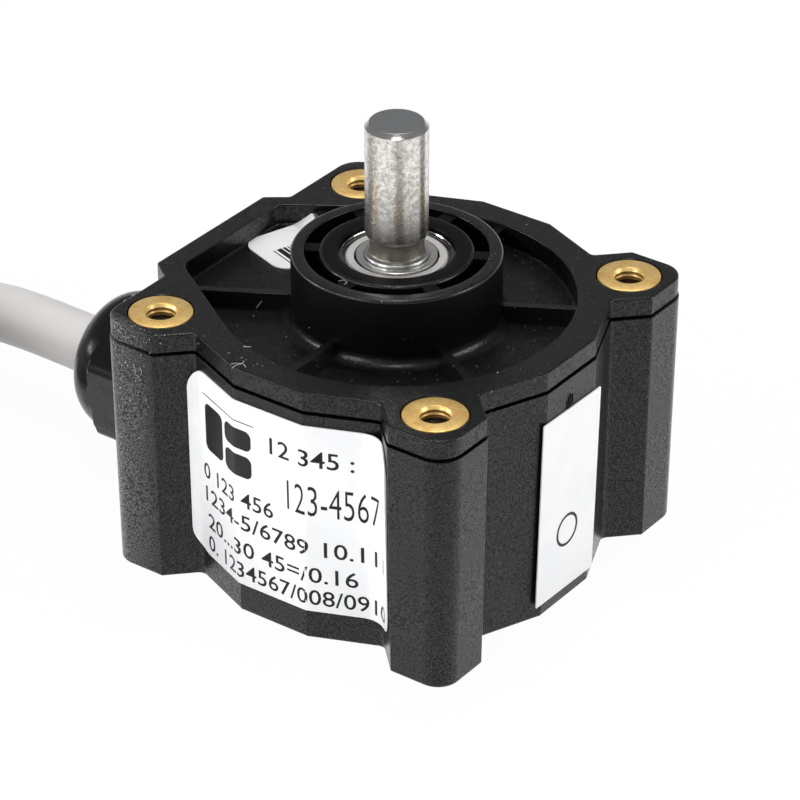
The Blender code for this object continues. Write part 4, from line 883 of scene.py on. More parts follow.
NECK_PALE = (0.27, 0.25, 0.22, 1.0)
NECK_DULL = (0.13, 0.12, 0.1, 1.0)
END_PALE = (0.37, 0.38, 0.38, 1.0)
END_DULL = (0.25, 0.26, 0.27, 1.0)
EDGE_DULL = (0.7, 0.7, 0.7, 1.0)
NECK_SHADE_DARK = (0.012, 0.011, 0.01, 1.0)
NECK_SHADE_PALE = (0.05, 0.045, 0.04, 1.0)
# Bands round the shaft's axis: partly streaks of the grinding, partly painted reflections that make
# its sides bright and dark.
STEEL_STREAKS_AND_REFLECTIONS = (
    (0.0, 0.8), (0.105, 0.6), (0.15, 0.9), (0.168, 1.0), (0.185, 1.0), (0.206, 0.75),
    (0.225, 1.0), (0.335, 1.0), (0.352, 0.62), (0.376, 0.66), (0.4, 1.0), (0.47, 0.95),
    (0.487, 0.36), (0.508, 0.4), (0.53, 1.0), (0.555, 0.9), (0.59, 0.4), (1.0, 0.8))


streaks_and_reflections = [(place, (level, level * (0.97 + 0.03 * level), level * (0.92 + 0.08 * level), 1.0))
           for place, level in STEEL_STREAKS_AND_REFLECTIONS]
steel = mottled("ground_steel", STEEL_DULL, STEEL_PALE, size=2300.0, depth=0.02 * MM,
                roughness=0.28, streaks_and_reflections=streaks_and_reflections)
neck_steel = mottled("neck_steel", NECK_DULL, NECK_PALE, size=1100.0, depth=0.002 * MM,
                     roughness=0.44)
end_steel = mottled("cut_end_steel", END_DULL, END_PALE, size=1500.0, depth=0.003 * MM,
                    roughness=0.45)
edge_steel = mottled("chamfer_steel", EDGE_DULL, STEEL_PALE, size=900.0, depth=0.001 * MM,
                     roughness=0.2)
shoulder_steel = mottled("shoulder_steel", END_PALE, EDGE_DULL, size=900.0, depth=0.001 * MM,
                         roughness=0.36)
# A dark, non-metal finish, painted as the shade under the neck's step.
neck_painted_shade = mottled("painted_neck_shade", NECK_SHADE_DARK, NECK_SHADE_PALE, size=1100.0, depth=0.002 * MM,
                roughness=0.6, metallic=0.0)

profile = [(0.0, SHAFT_BOTTOM), (SHAFT_RADIUS, SHAFT_BOTTOM),
           (SHAFT_RADIUS, SHOULDER_BOTTOM),
           (SHOULDER_RADIUS - TINY_EDGE, SHOULDER_BOTTOM),
           (SHOULDER_RADIUS, SHOULDER_BOTTOM + TINY_EDGE)]
profile += [(SHOULDER_RADIUS - inward * MM, SHOULDER_TOP - down * MM)
            for inward, down in SHOULDER_FALL]
profile += [(NECK_RADIUS + SHOULDER_FOOT, SHOULDER_TOP),
            (NECK_RADIUS, SHOULDER_TOP + NECK_FOOT),
            (NECK_RADIUS, NECK_TOP - 3 * NECK_BEAD),
            (NECK_RADIUS + NECK_BEAD, NECK_TOP - 2 * NECK_BEAD),
            (NECK_RADIUS + NECK_BEAD, NECK_TOP - NECK_BEAD),
            (NECK_RADIUS - NECK_BEAD / 2, NECK_TOP - NECK_BEAD / 2),
            (NECK_RADIUS, NECK_TOP)]
for i in range(1, ROUNDING_STEPS + 1):
    angle = pi / 2 * i / ROUNDING_STEPS
    profile.append((NECK_RADIUS + (SHAFT_RADIUS - NECK_RADIUS) * sin(angle),
                    NECK_TOP + NECK_ROUNDING * (1 - cos(angle))))
profile += [(SHAFT_RADIUS, SHAFT_TOP - SHAFT_CHAMFER - TINY_EDGE),
            (SHAFT_RADIUS - TINY_EDGE, SHAFT_TOP - SHAFT_CHAMFER),
            (SHAFT_RADIUS - SHAFT_CHAMFER, SHAFT_TOP - END_EDGE / 2),
            (SHAFT_RADIUS - SHAFT_CHAMFER - END_EDGE, SHAFT_TOP),
            (0.0, SHAFT_TOP)]
shaft = set_up("drive_shaft", turned(profile), steel, ["shaft"], body="rotor",
               sharp=25.0)
finishes = [steel, neck_steel, end_steel, edge_steel, shoulder_steel, neck_painted_shade]
for finish in finishes[1:]:
    shaft.data.materials.append(finish)
# The band just under the neck's step takes the painted shade.
bands = ((SHOULDER_TOP - NECK_BEAD, shoulder_steel), (NECK_TOP - 4 * NECK_BEAD, neck_steel),
         (NECK_TOP + 0.3 * NECK_ROUNDING, neck_painted_shade), (NECK_TOP + 0.65 * NECK_ROUNDING, neck_steel),
         (SHAFT_TOP - SHAFT_CHAMFER, steel), (SHAFT_TOP - END_EDGE / 2, edge_steel),
         (SHAFT_TOP + MM, end_steel))
for face in shaft.data.polygons:
    band = next(finish for top, finish in bands if face.center.z < top)
    face.material_index = finishes.index(band)


# Front bearing
# The rings and the pressed steel shield that show inside the boss. The shield
# is the brightest, and the outer ring is polished steel painted dark as the shade under the lip.
RING_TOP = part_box("front_outer_ring")[1][2]
RING_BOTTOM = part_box("front_outer_ring")[0][2]
RING_OUTER = 6.0 * MM
OUTER_LAND = 4.9 * MM
INNER_LAND = 3.85 * MM
INNER_BORE = 3.05 * MM
SHIELD_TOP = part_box("front_shield_top")[1][2]
SHIELD_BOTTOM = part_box("front_shield_top")[0][2]
RING_EDGE = 0.12 * MM
GROOVE_DEPTH = 0.12 * MM
GROOVE_MOUTH = 0.46 * MM
GROOVE_FLOOR = (0.4 * MM, 0.22 * MM)
LEDGE_DEPTH = 0.2 * MM
LEDGE_WIDTH = 0.16 * MM
SHIELD_GAP = 0.17 * MM
SHIELD_CURL = ((0.04, 0.14), (0.12, 0.1), (0.16, 0.0))
SHIELD_INNER_EDGE = (0.2 * MM, 0.05 * MM)
RACE_DULL = (0.6, 0.59, 0.57, 1.0)
RACE_PALE = (0.88, 0.87, 0.85, 1.0)
SHIELD_DULL = (0.88, 0.87, 0.86, 1.0)
SHIELD_PALE = (0.98, 0.98, 0.97, 1.0)
# The outer ring's tones, painted dark for the shade of the lip over it.
OUTER_RING_SHADE_DULL = (0.12, 0.12, 0.11, 1.0)
OUTER_RING_SHADE_PALE = (0.34, 0.33, 0.32, 1.0)

race_steel = mottled("race_steel", RACE_DULL, RACE_PALE, size=2600.0, depth=0.004 * MM,
                     roughness=0.34)
shield_steel = mottled("shield_steel", SHIELD_DULL, SHIELD_PALE, size=2600.0, depth=0.004 * MM,
                       roughness=0.5)
race_steel_in_painted_shade = mottled("race_steel_in_painted_shade", OUTER_RING_SHADE_DULL, OUTER_RING_SHADE_PALE, size=1800.0,
                          depth=0.002 * MM, roughness=0.16)

profile = [(OUTER_LAND, RING_BOTTOM), (RING_OUTER, RING_BOTTOM),
           (RING_OUTER, RING_TOP - RING_EDGE), (RING_OUTER - RING_EDGE, RING_TOP),
           (OUTER_LAND + GROOVE_MOUTH, RING_TOP),
           (OUTER_LAND + GROOVE_FLOOR[0], RING_TOP - GROOVE_DEPTH),
           (OUTER_LAND + GROOVE_FLOOR[1], RING_TOP - GROOVE_DEPTH),
           (OUTER_LAND + LEDGE_WIDTH, SHIELD_TOP - LEDGE_DEPTH),
           (OUTER_LAND, SHIELD_TOP - LEDGE_DEPTH)]
set_up("front_race_outer", turned(profile), race_steel_in_painted_shade, ["front_outer_ring"])
profile = [(INNER_BORE, RING_BOTTOM), (INNER_LAND, RING_BOTTOM),
           (INNER_LAND, RING_TOP - RING_EDGE / 2),
           (INNER_LAND - RING_EDGE / 2, RING_TOP),
           (INNER_BORE + RING_EDGE, RING_TOP), (INNER_BORE, RING_TOP - RING_EDGE)]
set_up("front_race_inner", turned(profile), race_steel, ["front_inner_ring"],
       body="rotor")
profile = [(INNER_LAND + SHIELD_GAP, SHIELD_BOTTOM),
           (OUTER_LAND - SHIELD_CURL[0][0] * MM, SHIELD_BOTTOM)]
profile += [(OUTER_LAND - inward * MM, SHIELD_TOP - down * MM) for inward, down in SHIELD_CURL]
profile += [(INNER_LAND + SHIELD_INNER_EDGE[0], SHIELD_TOP),
            (INNER_LAND + SHIELD_GAP, SHIELD_TOP - SHIELD_INNER_EDGE[1])]
set_up("front_dust_shield", turned(profile), shield_steel, ["front_shield_top"])


# Cable gland
# A nylon body screwed into the bulge and its domed nut, both with hexagon
# flats, moulded smooth and shiny.
GLAND_AXIS = Vector((0.0, -0.4, 8.3)) * MM
GLAND_FLATS = 14.5 * MM
GLAND_TURN = radians(-7.5)
COLLAR_START = 22.45 * MM
COLLAR_END = 26.05 * MM
NUT_START = 26.35 * MM
NUT_SHOULDER = 32.45 * MM
NUT_END = 36.05 * MM
NUT_ROUND = 7.3 * MM
NUT_MOUTH = 3.9 * MM
NUT_MOUTH_EDGE = 0.35 * MM
NUT_BORE = 3.1 * MM
DOME_STEPS = 20
NUT_STEPS = 240
BODY_START = 18.25 * MM
BODY_END = 31.55 * MM
BODY_BORE = 3.4 * MM
BODY_THREAD = 5.7 * MM
BODY_ROUND = 5.5 * MM
BODY_ROOM = 4.8 * MM
ROOM_FLOOR = 26.85 * MM
CUP_ROOM = 5.8 * MM
CUP_FLOOR = 31.9 * MM
HEX_CORNER = GLAND_FLATS / 2 / cos(pi / 6)
HEX_CHAMFER = 1.0 * MM
HEX_EDGE_CUT = 0.18 * MM
NYLON_COLOUR = (0.004, 0.004, 0.0043, 1.0)

gland_place = Matrix.Translation(GLAND_AXIS) @ Matrix.Rotation(-pi / 2, 4, "Y")
nylon = moulded_plastic("gland_nylon", NYLON_COLOUR, roughness=0.24, grain_size=2500.0,
                        grain_depth=0.004 * MM, shine=0.4, coat=0.2, specks=0.05)


def hexagon_sleeve(name, profile, node):
    """Spin a sleeve and pull what is outside a rounded hexagon in to it."""
    shape = turned(profile, steps=NUT_STEPS)
    edge = HEX_CORNER - HEX_EDGE_CUT
    for vert in shape.verts:
        angle = atan2(vert.co.y, vert.co.x) - GLAND_TURN - pi / 6
        flat = GLAND_FLATS / 2 / cos(remainder(angle, pi / 3))
        pull = min(1.0, min(flat, edge) / vert.co.xy.length)
        vert.co.x *= pull
        vert.co.y *= pull
    bmesh.ops.transform(shape, matrix=gland_place, verts=shape.verts)
    return set_up(name, shape, nylon, [node], sharp=20.0)


nut = [(CUP_ROOM, NUT_START), (HEX_CORNER - HEX_CHAMFER, NUT_START),
       (HEX_CORNER, NUT_START + HEX_CHAMFER / 2),
       (HEX_CORNER, NUT_SHOULDER - HEX_CHAMFER / 2),
       (HEX_CORNER - HEX_CHAMFER / 2, NUT_SHOULDER - HEX_CHAMFER / 5)]
for i in range(DOME_STEPS + 1):
    angle = pi / 2 * i / DOME_STEPS
    nut.append((NUT_MOUTH + (NUT_ROUND - NUT_MOUTH) * cos(angle),
                NUT_SHOULDER + (NUT_END - NUT_SHOULDER) * sin(angle)))
nut += [(NUT_BORE + NUT_MOUTH_EDGE, NUT_END), (NUT_BORE, NUT_END - NUT_MOUTH_EDGE),
        (NUT_BORE, CUP_FLOOR), (CUP_ROOM, CUP_FLOOR)]
hexagon_sleeve("domed_nut", nut, "gland_nut")
collar = [(BODY_BORE, BODY_START), (BODY_THREAD, BODY_START), (BODY_THREAD, COLLAR_START),
          (HEX_CORNER - HEX_CHAMFER, COLLAR_START),
          (HEX_CORNER, COLLAR_START + HEX_CHAMFER / 2),
          (HEX_CORNER, COLLAR_END - HEX_CHAMFER / 2),
          (HEX_CORNER - HEX_CHAMFER, COLLAR_END), (BODY_ROUND, COLLAR_END),
          (BODY_ROUND, BODY_END), (BODY_ROOM, BODY_END), (BODY_ROOM, ROOM_FLOOR),
          (BODY_BORE, ROOM_FLOOR)]
hexagon_sleeve("gland_collar", collar, "gland_body")


# Type label
# White film stuck round the front facets of the housing. Its left end stops at
# the left ear and its right end bends up the front ear. It is printed in black
# with rows of plain numbers and a mark of plain bars.
LABEL_THICKNESS = 0.12 * MM
LABEL_LIFT = 0.05 * MM
PRINT_LIFT = 0.012 * MM
PLATE = (LABEL_LIFT, LABEL_THICKNESS)
PRINT = (LABEL_LIFT + LABEL_THICKNESS - PRINT_LIFT, 2 * PRINT_LIFT)
TYPE_LABEL_LEFT = -11.8 * MM
TYPE_LABEL_RIGHT = 14.4 * MM
TYPE_LABEL_BOTTOM = 3.2 * MM
TYPE_LABEL_TOP = 23.5 * MM
TYPE_LABEL_CORNER = 2.4 * MM
LEFT_BEND = 1.2 * MM
RIGHT_BEND = 2.4 * MM
BEND_STEP = 0.35 * MM
WALL_CORNER = 0.1 * MM
CAPITAL = 1.75 * MM
PRINT_WEIGHT = 0.006
THIN_PRINT = -0.008
PRINT_ROWS = (
    ("12 345 :", 0.2, 19.15, 8.7, 1.85 * MM, PRINT_WEIGHT),
    ("123-4567", 2.1, 13.8, 9.5, 3.45 * MM, THIN_PRINT),
    ("0 123 456", -10.0, 12.0, 10.4, CAPITAL, PRINT_WEIGHT),
    ("1234-5/6789 10.111", -9.8, 9.4, 22.4, CAPITAL, PRINT_WEIGHT),
    ("20...30 45=/0.16", -9.5, 6.45, 18.6, CAPITAL, PRINT_WEIGHT),
    ("0. 1234567/008/0910", -9.6, 3.95, 22.4, CAPITAL, PRINT_WEIGHT),
)
MARK_CENTRE = Vector((-5.7, 17.8)) * MM
MARK_SIZE = Vector((7.4, 5.4)) * MM
MARK_LINE_HEIGHT = 21.3 * MM
MARK_LINE_SIZE = (1.1 * MARK_SIZE.x, 0.1 * MM, 0.04 * MM)
MARK_BARS = (
    (0.44, 0.94, -0.28, 0.03), (0.5, 0.4, 0.25, 0.3), (0.5, 0.44, 0.25, -0.24))
MARK_CORNER = 0.7 * MM
LETTER_HEIGHT = 0.73
FILM_DULL = (0.8, 0.805, 0.82, 1.0)
FILM_PALE = (0.85, 0.85, 0.85, 1.0)
INK_DARK = (0.006, 0.006, 0.006, 1.0)
INK_PALE = (0.018, 0.018, 0.018, 1.0)
INK_SHINE = 0.22

film, shader = two_toned("white_film", (0.35, FILM_DULL), (0.65, FILM_PALE),
                         size=180.0, detail=3.0, roughness=0.38)
ink, shader = two_toned("black_ink", (0.0, INK_DARK), (1.0, INK_PALE),
                        size=900.0, detail=2.0, roughness=0.3)
shader.inputs["Specular IOR Level"].default_value = INK_SHINE


def wall_point(along, height, lift):
    """A place on the front wall, some way along it from the middle facet."""
    half, facet = CASE_HALF, FACET_HALF
    corners = [(EAR_BAND - half, -half, WALL_CORNER), (-EAR_NEAR, -EAR_FAR, LEFT_BEND),
               (-facet, -half, EDGE_RADIUS), (facet, -half, EDGE_RADIUS),
               (EAR_NEAR, -EAR_FAR, RIGHT_BEND), (half - EAR_BAND, -half, WALL_CORNER)]
    line = rounded(corners, DRAFT * (1 - height / HOUSING_TOP) - lift)
    line = [Vector(point) for point in line]
    middle = next(i for i, point in enumerate(line) if point.x > 0)
    start = Vector((0.0, line[middle].y))
    line = line[middle - 1::-1] if along < 0 else line[middle:]
    left = abs(along)
    for point in line:
        length = (point - start).length
        if length >= left or point == line[-1]:
            place = start + (point - start) * (left / length)
            return Vector((place.x, place.y, height))
        left -= length
        start = point


def flat_outline(width, height, radius, centre, steps=8):
    """Rounded rectangle in the plane of a label, before it is stuck on."""
    points = []
    for i, (side_x, side_y) in enumerate(((1, 1), (-1, 1), (-1, -1), (1, -1))):
        corner = Vector(((width / 2 - radius) * side_x, (height / 2 - radius) * side_y))
        for j in range(steps + 1):
            angle = pi / 2 * (i + j / steps)
            arc = Vector((cos(angle), sin(angle))) * radius
            points.append(tuple(Vector(centre) + corner + arc))
    return points


def flat_film(outlines, low, thickness):
    """Closed sheet of some flat outlines, its thickness along Z."""
    shape = bmesh.new()
    for outline in outlines:
        face = shape.faces.new([shape.verts.new((x, y, low)) for x, y in outline])
        grown = bmesh.ops.extrude_face_region(shape, geom=[face])["geom"]
        upper = [part for part in grown if isinstance(part, bmesh.types.BMVert)]
        bmesh.ops.translate(shape, verts=upper, vec=(0, 0, thickness))
    return shape


def printed(text, left, base, width, height, weight, low):
    """One row of print as a flat mesh, fitted to its width and height."""
    letters = bpy.data.curves.new(text, "FONT")
    letters.body = text
    letters.resolution_u = 3
    letters.offset = weight
    carrier = bpy.data.objects.new(text, letters)
    flat = bpy.data.meshes.new_from_object(carrier)
    shape = bmesh.new()
    shape.from_mesh(flat)
    bpy.data.objects.remove(carrier)
    bpy.data.curves.remove(letters)
    bpy.data.meshes.remove(flat)
    xs = [vert.co.x for vert in shape.verts]
    for vert in shape.verts:
        vert.co.x = left + (vert.co.x - min(xs)) / (max(xs) - min(xs)) * width
        vert.co.y = base + vert.co.y / LETTER_HEIGHT * height
        vert.co.z = low
    return shape


def stick_on(name, shape, finish, place, step, nodes=(), sharp=60.0):
    """Cut a flat shape into strips and bend it to where it is stuck on the case."""
    xs = [vert.co.x for vert in shape.verts]
    for i in range(1, ceil((max(xs) - min(xs)) / step)):
        cut = Vector((min(xs) + i * step, 0, 0))
        bmesh.ops.bisect_plane(
            shape, geom=shape.verts[:] + shape.edges[:] + shape.faces[:],
            plane_co=cut, plane_no=(1, 0, 0), dist=1e-7)
    for vert in shape.verts:
        vert.co = place(*vert.co)
    set_up(name, shape, finish, nodes, sharp=sharp)


centre = ((TYPE_LABEL_LEFT + TYPE_LABEL_RIGHT) / 2, (TYPE_LABEL_BOTTOM + TYPE_LABEL_TOP) / 2)
outline = flat_outline(TYPE_LABEL_RIGHT - TYPE_LABEL_LEFT, TYPE_LABEL_TOP - TYPE_LABEL_BOTTOM,
                       TYPE_LABEL_CORNER, centre)
stick_on("type_plate", flat_film([outline], *PLATE), film, wall_point, BEND_STEP,
         ["type_label"])

print_height = LABEL_LIFT + LABEL_THICKNESS + PRINT_LIFT
for number, (text, left, base, width, height, weight) in enumerate(PRINT_ROWS, start=1):
    shape = printed(text, left * MM, base * MM, width * MM, height, weight, print_height)
    stick_on(f"type_print_{number}", shape, ink, wall_point, BEND_STEP, sharp=35.0)

bars = [flat_outline(MARK_SIZE.x * width, MARK_SIZE.y * height, MARK_CORNER,
                     MARK_CENTRE + Vector((right * MARK_SIZE.x, up * MARK_SIZE.y)))
        for width, height, right, up in MARK_BARS]
bars.append(flat_outline(*MARK_LINE_SIZE, (MARK_CENTRE.x, MARK_LINE_HEIGHT)))
stick_on("type_mark", flat_film(bars, *PRINT), ink, wall_point, BEND_STEP)


# Side label
# A narrow plate of the same film, stuck on the right facet a little aslant,
# with a plain ring printed low on it.
SIDE_LABEL_SIZE = Vector((9.4, 20.0)) * MM
SIDE_LABEL_CENTRE = Vector((-0.1, 11.45)) * MM
SIDE_LABEL_CORNER = 0.12 * MM
SIDE_LABEL_TILT = radians(-0.9)
SIDE_MARK_CENTRE = Vector((-0.1, 8.0)) * MM
SIDE_MARK_OUTER = 1.75 * MM
SIDE_MARK_LINE = 0.3 * MM


def side_point(along, height, lift):
    """A place on the right facet, which leans in towards its foot."""
    face = CASE_HALF - DRAFT * (1 - height / HOUSING_TOP)
    slant = tan(SIDE_LABEL_TILT)
    tilted = along - (height - SIDE_LABEL_CENTRE.y) * slant
    return Vector((face + lift, tilted, height + along * slant))


outline = flat_outline(*SIDE_LABEL_SIZE, SIDE_LABEL_CORNER, SIDE_LABEL_CENTRE)
stick_on("side_plate", flat_film([outline], *PLATE), film, side_point, SIDE_LABEL_SIZE.x,
         ["side_label"], sharp=35.0)
shape = strip_round(circle(SIDE_MARK_OUTER, SIDE_MARK_CENTRE), SIDE_MARK_LINE, PRINT[0], sum(PRINT))
stick_on("side_mark", shape, ink, side_point, SIDE_LABEL_SIZE.x, sharp=35.0)


# Recess label
# Film on the recessed floor beside the boss. Its far end climbs the wall of the
# recess, and a few bars of its print show beside the boss.
RECESS_LABEL_ORIGIN = Vector((12.9, 15.9)) * MM
RECESS_LABEL_LENGTH_WAY = Vector((0.62, -0.785))
RECESS_LABEL_WIDTH_WAY = Vector((-0.785, -0.62))
RECESS_LABEL_CORNERS = (
    (0.0, 0.0, 1.8), (0.0, 7.3, 2.0), (4.6, 7.3, 0.4), (8.0, 3.0, 0.4),
    (9.2, 1.1, 0.3), (8.4, 0.0, 0.2))
RECESS_BARS = ((1.55, 0.13), (1.95, 0.55), (2.65, 0.3), (3.15, 0.13), (3.5, 0.55))
RECESS_BAR_ENDS = (3.3, 6.9)
RECESS_BAR_CORNER = 0.03 * MM
FOLD_RADIUS = 0.7 * MM
FOLD_STEP = 0.15 * MM


def recess_point(along, across, lift):
    """A place on the recess's floor, or up its wall past the fold."""
    flat = (RECESS_LABEL_ORIGIN + RECESS_LABEL_LENGTH_WAY * along
            + RECESS_LABEL_WIDTH_WAY * across)
    fold_start = POCKET_RADIUS - FOLD_RADIUS
    bend = min(pi / 2, max(0.0, (flat.x - fold_start) / FOLD_RADIUS))
    climb = max(0.0, flat.x - fold_start - FOLD_RADIUS * pi / 2)
    radius = FOLD_RADIUS - lift
    out = min(flat.x, fold_start) + radius * sin(bend)
    height = POCKET_FLOOR + FOLD_RADIUS - radius * cos(bend) + climb
    outward = Vector((cos(POCKET_SPREAD), sin(POCKET_SPREAD)))
    sideways = Vector((-outward.y, outward.x))
    return (outward * out + sideways * flat.y).to_3d() + Vector((0, 0, height))


ring = [(x * MM, y * MM, r * MM) for x, y, r in reversed(RECESS_LABEL_CORNERS)]
stick_on("recess_plate", flat_film([rounded(ring, 0.0)], *PLATE), film, recess_point,
         FOLD_STEP * 2, ["recess_label"])
near, far = RECESS_BAR_ENDS
bars = [flat_outline(width * MM, (far - near) * MM, RECESS_BAR_CORNER,
                     ((place + width / 2) * MM, (near + far) / 2 * MM), 2)
        for place, width in RECESS_BARS]
stick_on("recess_bars", flat_film(bars, *PRINT), ink, recess_point, FOLD_STEP * 4, sharp=35.0)


# Coil tie
# A black nylon strap pulled tight round all the turns of the coil, with its
# head on top and its tail cut short.
TIE_TURNS = 0.14
TIE_WIDTH = 3.6 * MM
TIE_THICKNESS = 1.0 * MM
TIE_SINK = 0.45 * MM
TIE_CORNER = 3.0 * MM
TIE_HEAD = Vector((6.2, 5.0, 3.6)) * MM
TIE_HEAD_PLACE = 3.0 * MM
TIE_TAIL = 2.4 * MM
TIE_HEAD_EDGE = 0.5 * MM
TIE_TAIL_EDGE = 0.2 * MM

TIE_HALF_WIDTH = ((COIL_OUTER_TURN - COIL_INNER_TURN + CABLE_DIAMETER) / 2
                  + TIE_THICKNESS - TIE_SINK)
TIE_HALF_HEIGHT = 1.5 * CABLE_DIAMETER + (TIE_THICKNESS - TIE_SINK) / 2


def tie_outline(inset):
    """The strap's path round the turns, as seen along them."""
    return rounded([(x * TIE_HALF_WIDTH, y * TIE_HALF_HEIGHT, TIE_CORNER)
                    for x, y in ((1, 1), (-1, 1), (-1, -1), (1, -1))], inset)


centre = coil_place(TIE_TURNS, (COIL_OUTER_TURN + COIL_INNER_TURN) / 2, TIE_HALF_HEIGHT)
angle = pi / 2 + 2 * pi * TIE_TURNS
place = (Matrix.Translation(centre) @ Matrix.Rotation(angle, 4, "Z")
         @ Matrix.Rotation(pi / 2, 4, "X"))
shape = strip_round(tie_outline, TIE_THICKNESS, -TIE_WIDTH / 2, TIE_WIDTH / 2)
top = TIE_HALF_HEIGHT - TIE_SINK
bar(shape, TIE_HEAD.xzy, (TIE_HEAD_PLACE, top + TIE_HEAD.z / 2, 0), 0.0, TIE_HEAD_EDGE)
bar(shape, (TIE_TAIL, TIE_THICKNESS, TIE_WIDTH),
    (TIE_HEAD_PLACE + TIE_HEAD.x / 2 + TIE_TAIL / 3, top + TIE_HEAD.z * 0.6, 0), 0.0,
    TIE_TAIL_EDGE)
bmesh.ops.transform(shape, matrix=place, verts=shape.verts)
tie = set_up("cable_tie", shape, nylon)


# Inner parts
# The pieces inside the case keep the shapes of the frame. Each kind gets the
# finish of what it is made of: steel, aluminium, rubber, nylon, glass or resin.
INNER_DULL = 0.75
INNER_PALE = 1.15
INNER_DEPTH = 0.004 * MM
INNER_FINISHES = (
    ("seal_rubber", (0.018, 0.018, 0.018), 1200.0, 0.75, 0.0, ["case_seal", "gland_seal"]),
    ("zinc_screws", (0.62, 0.62, 0.6), 1600.0, 0.32, 1.0,
     ["case_screw_1", "case_screw_2", "case_screw_3", "case_screw_4",
      "board_screw_1", "board_screw_2", "board_screw_3", "hub_screw"]),
    ("spring_steel", (0.3, 0.29, 0.28), 1400.0, 0.3, 1.0,
     ["bore_clip", "shaft_clip", "wave_washer"]),
    ("ball_steel", (0.72, 0.72, 0.72), 900.0, 0.12, 1.0,
     [f"{place}_ball_{number}" for place in ("front", "rear") for number in range(1, 7)]),
    ("cage_nylon", (0.55, 0.42, 0.25), 1100.0, 0.45, 0.0, ["front_cage", "rear_cage"]),
    ("turned_aluminium", (0.74, 0.74, 0.75), 2200.0, 0.34, 1.0,
     ["spacer_sleeve", "disc_hub", "capacitor"]),
    ("chip_resin", (0.022, 0.022, 0.022), 3000.0, 0.55, 0.0,
     ["sensor_chip", "driver_chip", "led_holder"]),
    ("connector_plastic", (0.74, 0.73, 0.68), 1300.0, 0.45, 0.0, ["wire_connector"]),
    ("clear_resin", (0.62, 0.5, 0.38), 800.0, 0.12, 0.0, ["led_emitter"]),
)
for name, colour, size, roughness, metallic, nodes in INNER_FINISHES:
    dull = (*(INNER_DULL * part for part in colour), 1.0)
    pale = (*(min(1.0, INNER_PALE * part) for part in colour), 1.0)
    refinish(mottled(name, dull, pale, size, INNER_DEPTH, roughness, metallic), *nodes)
refinish(race_steel, "front_shield_bottom", "rear_shield_top", "rear_shield_bottom",
         "rear_outer_ring", "rear_inner_ring")

LAMINATE_GREEN = (0.012, 0.1, 0.035, 1.0)
TRACK_GREEN = (0.03, 0.19, 0.075, 1.0)
TRACK_WIDTH = 0.05
laminate, tree, shader = new_material("green_laminate", 0.34)
where = add_node(tree, "TexCoord").outputs["Object"]
tracks = add_node(tree, "TexBrick", Vector=where, Scale=420.0, Color1=LAMINATE_GREEN,
                  Color2=LAMINATE_GREEN, Mortar=TRACK_GREEN)
tracks.inputs["Mortar Size"].default_value = TRACK_WIDTH
tree.links.new(tracks.outputs["Color"], shader.inputs["Base Color"])
refinish(laminate, "circuit_board")

DISC_LINES = 250
DISC_GLASS = (0.62, 0.68, 0.67, 1.0)
DISC_CHROME = (0.05, 0.05, 0.055, 1.0)
coded, tree, shader = new_material("coded_glass", 0.08)
wave = maths(tree, "SINE", maths(tree, "MULTIPLY", axis_angle(tree), DISC_LINES))
line = maths(tree, "GREATER_THAN", wave, 0.0)
feed(tree, shader.inputs["Base Color"], mixed(tree, line, DISC_GLASS, DISC_CHROME))
refinish(coded, "code_disc", "reticle")


# Dust and lint
# Pale flakes of dust and a few white hairs on the left ear, the rim and the
# recessed floor, and a dark smudge above the side label.
FLAKE_SEED = 3
FLAKE_SIZES = (0.02 * MM, 0.055 * MM)
FLAKE_FIELDS = (
    (46, (-18.0, -19.98, 15.0), (-14.0, -19.98, 24.2)),
    (14, (-18.0, -19.91, 24.9), (-13.4, -19.91, 26.5)),
    (9, (-16.5, -19.7, 26.83), (-12.6, -19.0, 26.83)),
    (8, (-6.5, -18.6, 26.83), (-1.5, -18.0, 26.83)),
    (5, (-11.5, -10.0, 24.6), (-5.0, -8.0, 24.6)),
    (6, (4.0, -15.0, 24.6), (10.0, -12.0, 24.6)),
)
FLAKES = (
    (-15.67, -19.92, 26.06), (-12.99, -19.41, 25.99), (-17.61, -19.95, 19.87),
    (-14.94, -20.0, 24.31), (-16.6, -19.98, 22.65), (-17.55, -19.92, 26.04),
    (-14.8, -19.95, 24.5), (-16.44, -19.95, 18.86), (-10.09, -17.4, 26.03),
    (2.19, 18.35, 26.83), (16.1, -6.47, 26.83), (-5.46, -16.35, 26.83),
    (-3.14, -9.52, 26.43), (4.66, -8.78, 31.49),
)
SMUDGE_RADIUS = 0.13 * MM
SMUDGE = (
    ((19.93, -0.75, 22.3), (19.94, -0.7, 22.0), (19.94, -0.62, 21.6), (19.93, -0.6, 21.5)),
    ((19.93, -0.45, 22.75), (19.95, -0.42, 22.4), (19.95, -0.4, 21.8), (19.93, -0.35, 21.4)),
    ((19.93, -0.15, 22.9), (19.95, -0.15, 22.5), (19.95, -0.12, 21.9), (19.93, -0.1, 21.5)),
    ((19.93, 0.12, 22.7), (19.95, 0.15, 22.4), (19.94, 0.18, 22.0), (19.93, 0.2, 21.8)),
)
HAIR_RADIUS = 0.017 * MM
HAIR_STEP = 0.15 * MM
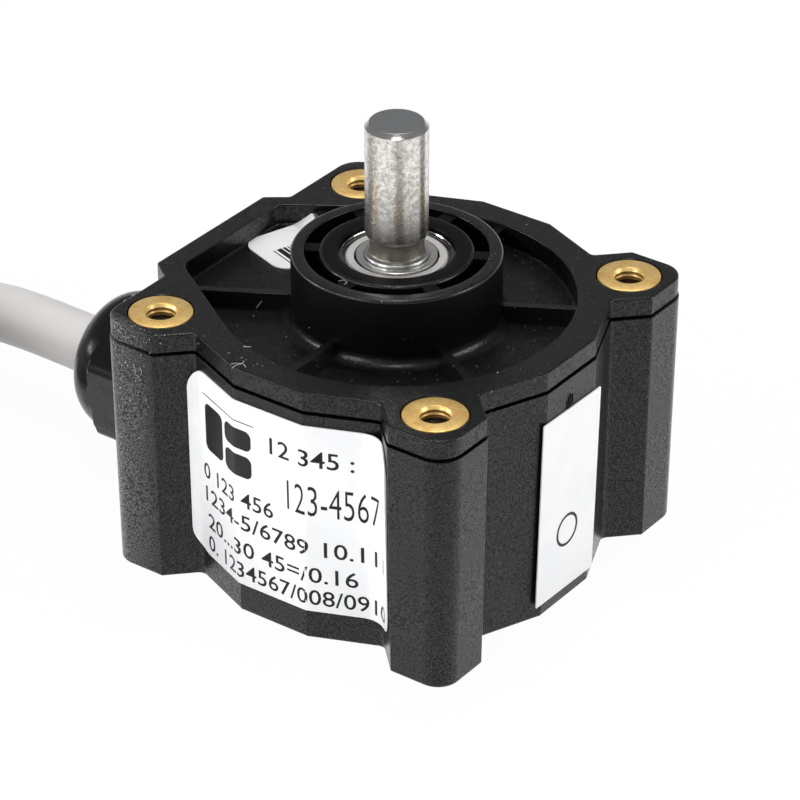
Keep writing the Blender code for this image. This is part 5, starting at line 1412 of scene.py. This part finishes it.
HAIRS = (
    ((-11.33, -7.1, 24.64), (-11.2, -7.0, 24.85), (-11.0, -6.95, 25.2), (-10.84, -6.84, 25.46)),
    ((-5.5, -16.45, 26.85), (-5.2, -16.3, 26.86), (-4.9, -16.05, 26.85)),
    ((-4.5, -19.6, 26.84), (-4.1, -19.2, 26.86), (-3.5, -19.0, 26.86), (-3.0, -19.3, 26.84)),
    ((-4.2, -19.9, 26.5), (-4.0, -19.7, 26.85), (-3.7, -18.9, 26.86), (-3.9, -18.5, 26.84)),
    ((-15.9, -19.99, 23.0), (-15.6, -20.0, 22.5), (-15.7, -20.0, 22.1), (-15.2, -19.99, 21.8)),
    ((-15.1, -19.99, 22.9), (-14.9, -20.0, 22.6), (-15.0, -19.99, 22.2)),
    ((-0.9, -7.9, 31.42), (-0.6, -7.5, 31.45), (-0.1, -7.7, 31.45), (-0.1, -8.1, 31.42)),
)
DUST_DULL = (0.35, 0.35, 0.34, 1.0)
DUST_PALE = (0.75, 0.75, 0.73, 1.0)

dust_finish = mottled("dust", DUST_DULL, DUST_PALE, size=4000.0, depth=0.01 * MM, roughness=0.8,
                      metallic=0.0)
chance = random.Random(FLAKE_SEED)
shape = bmesh.new()
for count, low, high in FLAKE_FIELDS:
    low, high = Vector(low) * MM, Vector(high) * MM
    for i in range(count):
        spot = Vector([chance.uniform(a, b) for a, b in zip(low, high)])
        bmesh.ops.create_icosphere(shape, subdivisions=1, radius=chance.uniform(*FLAKE_SIZES),
                                   matrix=Matrix.Translation(spot))
for flake in FLAKES:
    bmesh.ops.create_icosphere(shape, subdivisions=1, radius=FLAKE_SIZES[1],
                               matrix=Matrix.Translation(Vector(flake) * MM))
set_up("dust_flakes", shape, dust_finish)
for number, stroke in enumerate(SMUDGE, start=1):
    tube(f"smudge_{number}", smooth_route(stroke, HAIR_STEP), SMUDGE_RADIUS, boss_plastic)
for number, hair in enumerate(HAIRS, start=1):
    tube(f"lint_{number}", smooth_route(hair, HAIR_STEP), HAIR_RADIUS, dust_finish)


size = {"cad": [list(corner) for corner in cad_box],
        "scene": [list(corner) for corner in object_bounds()]}
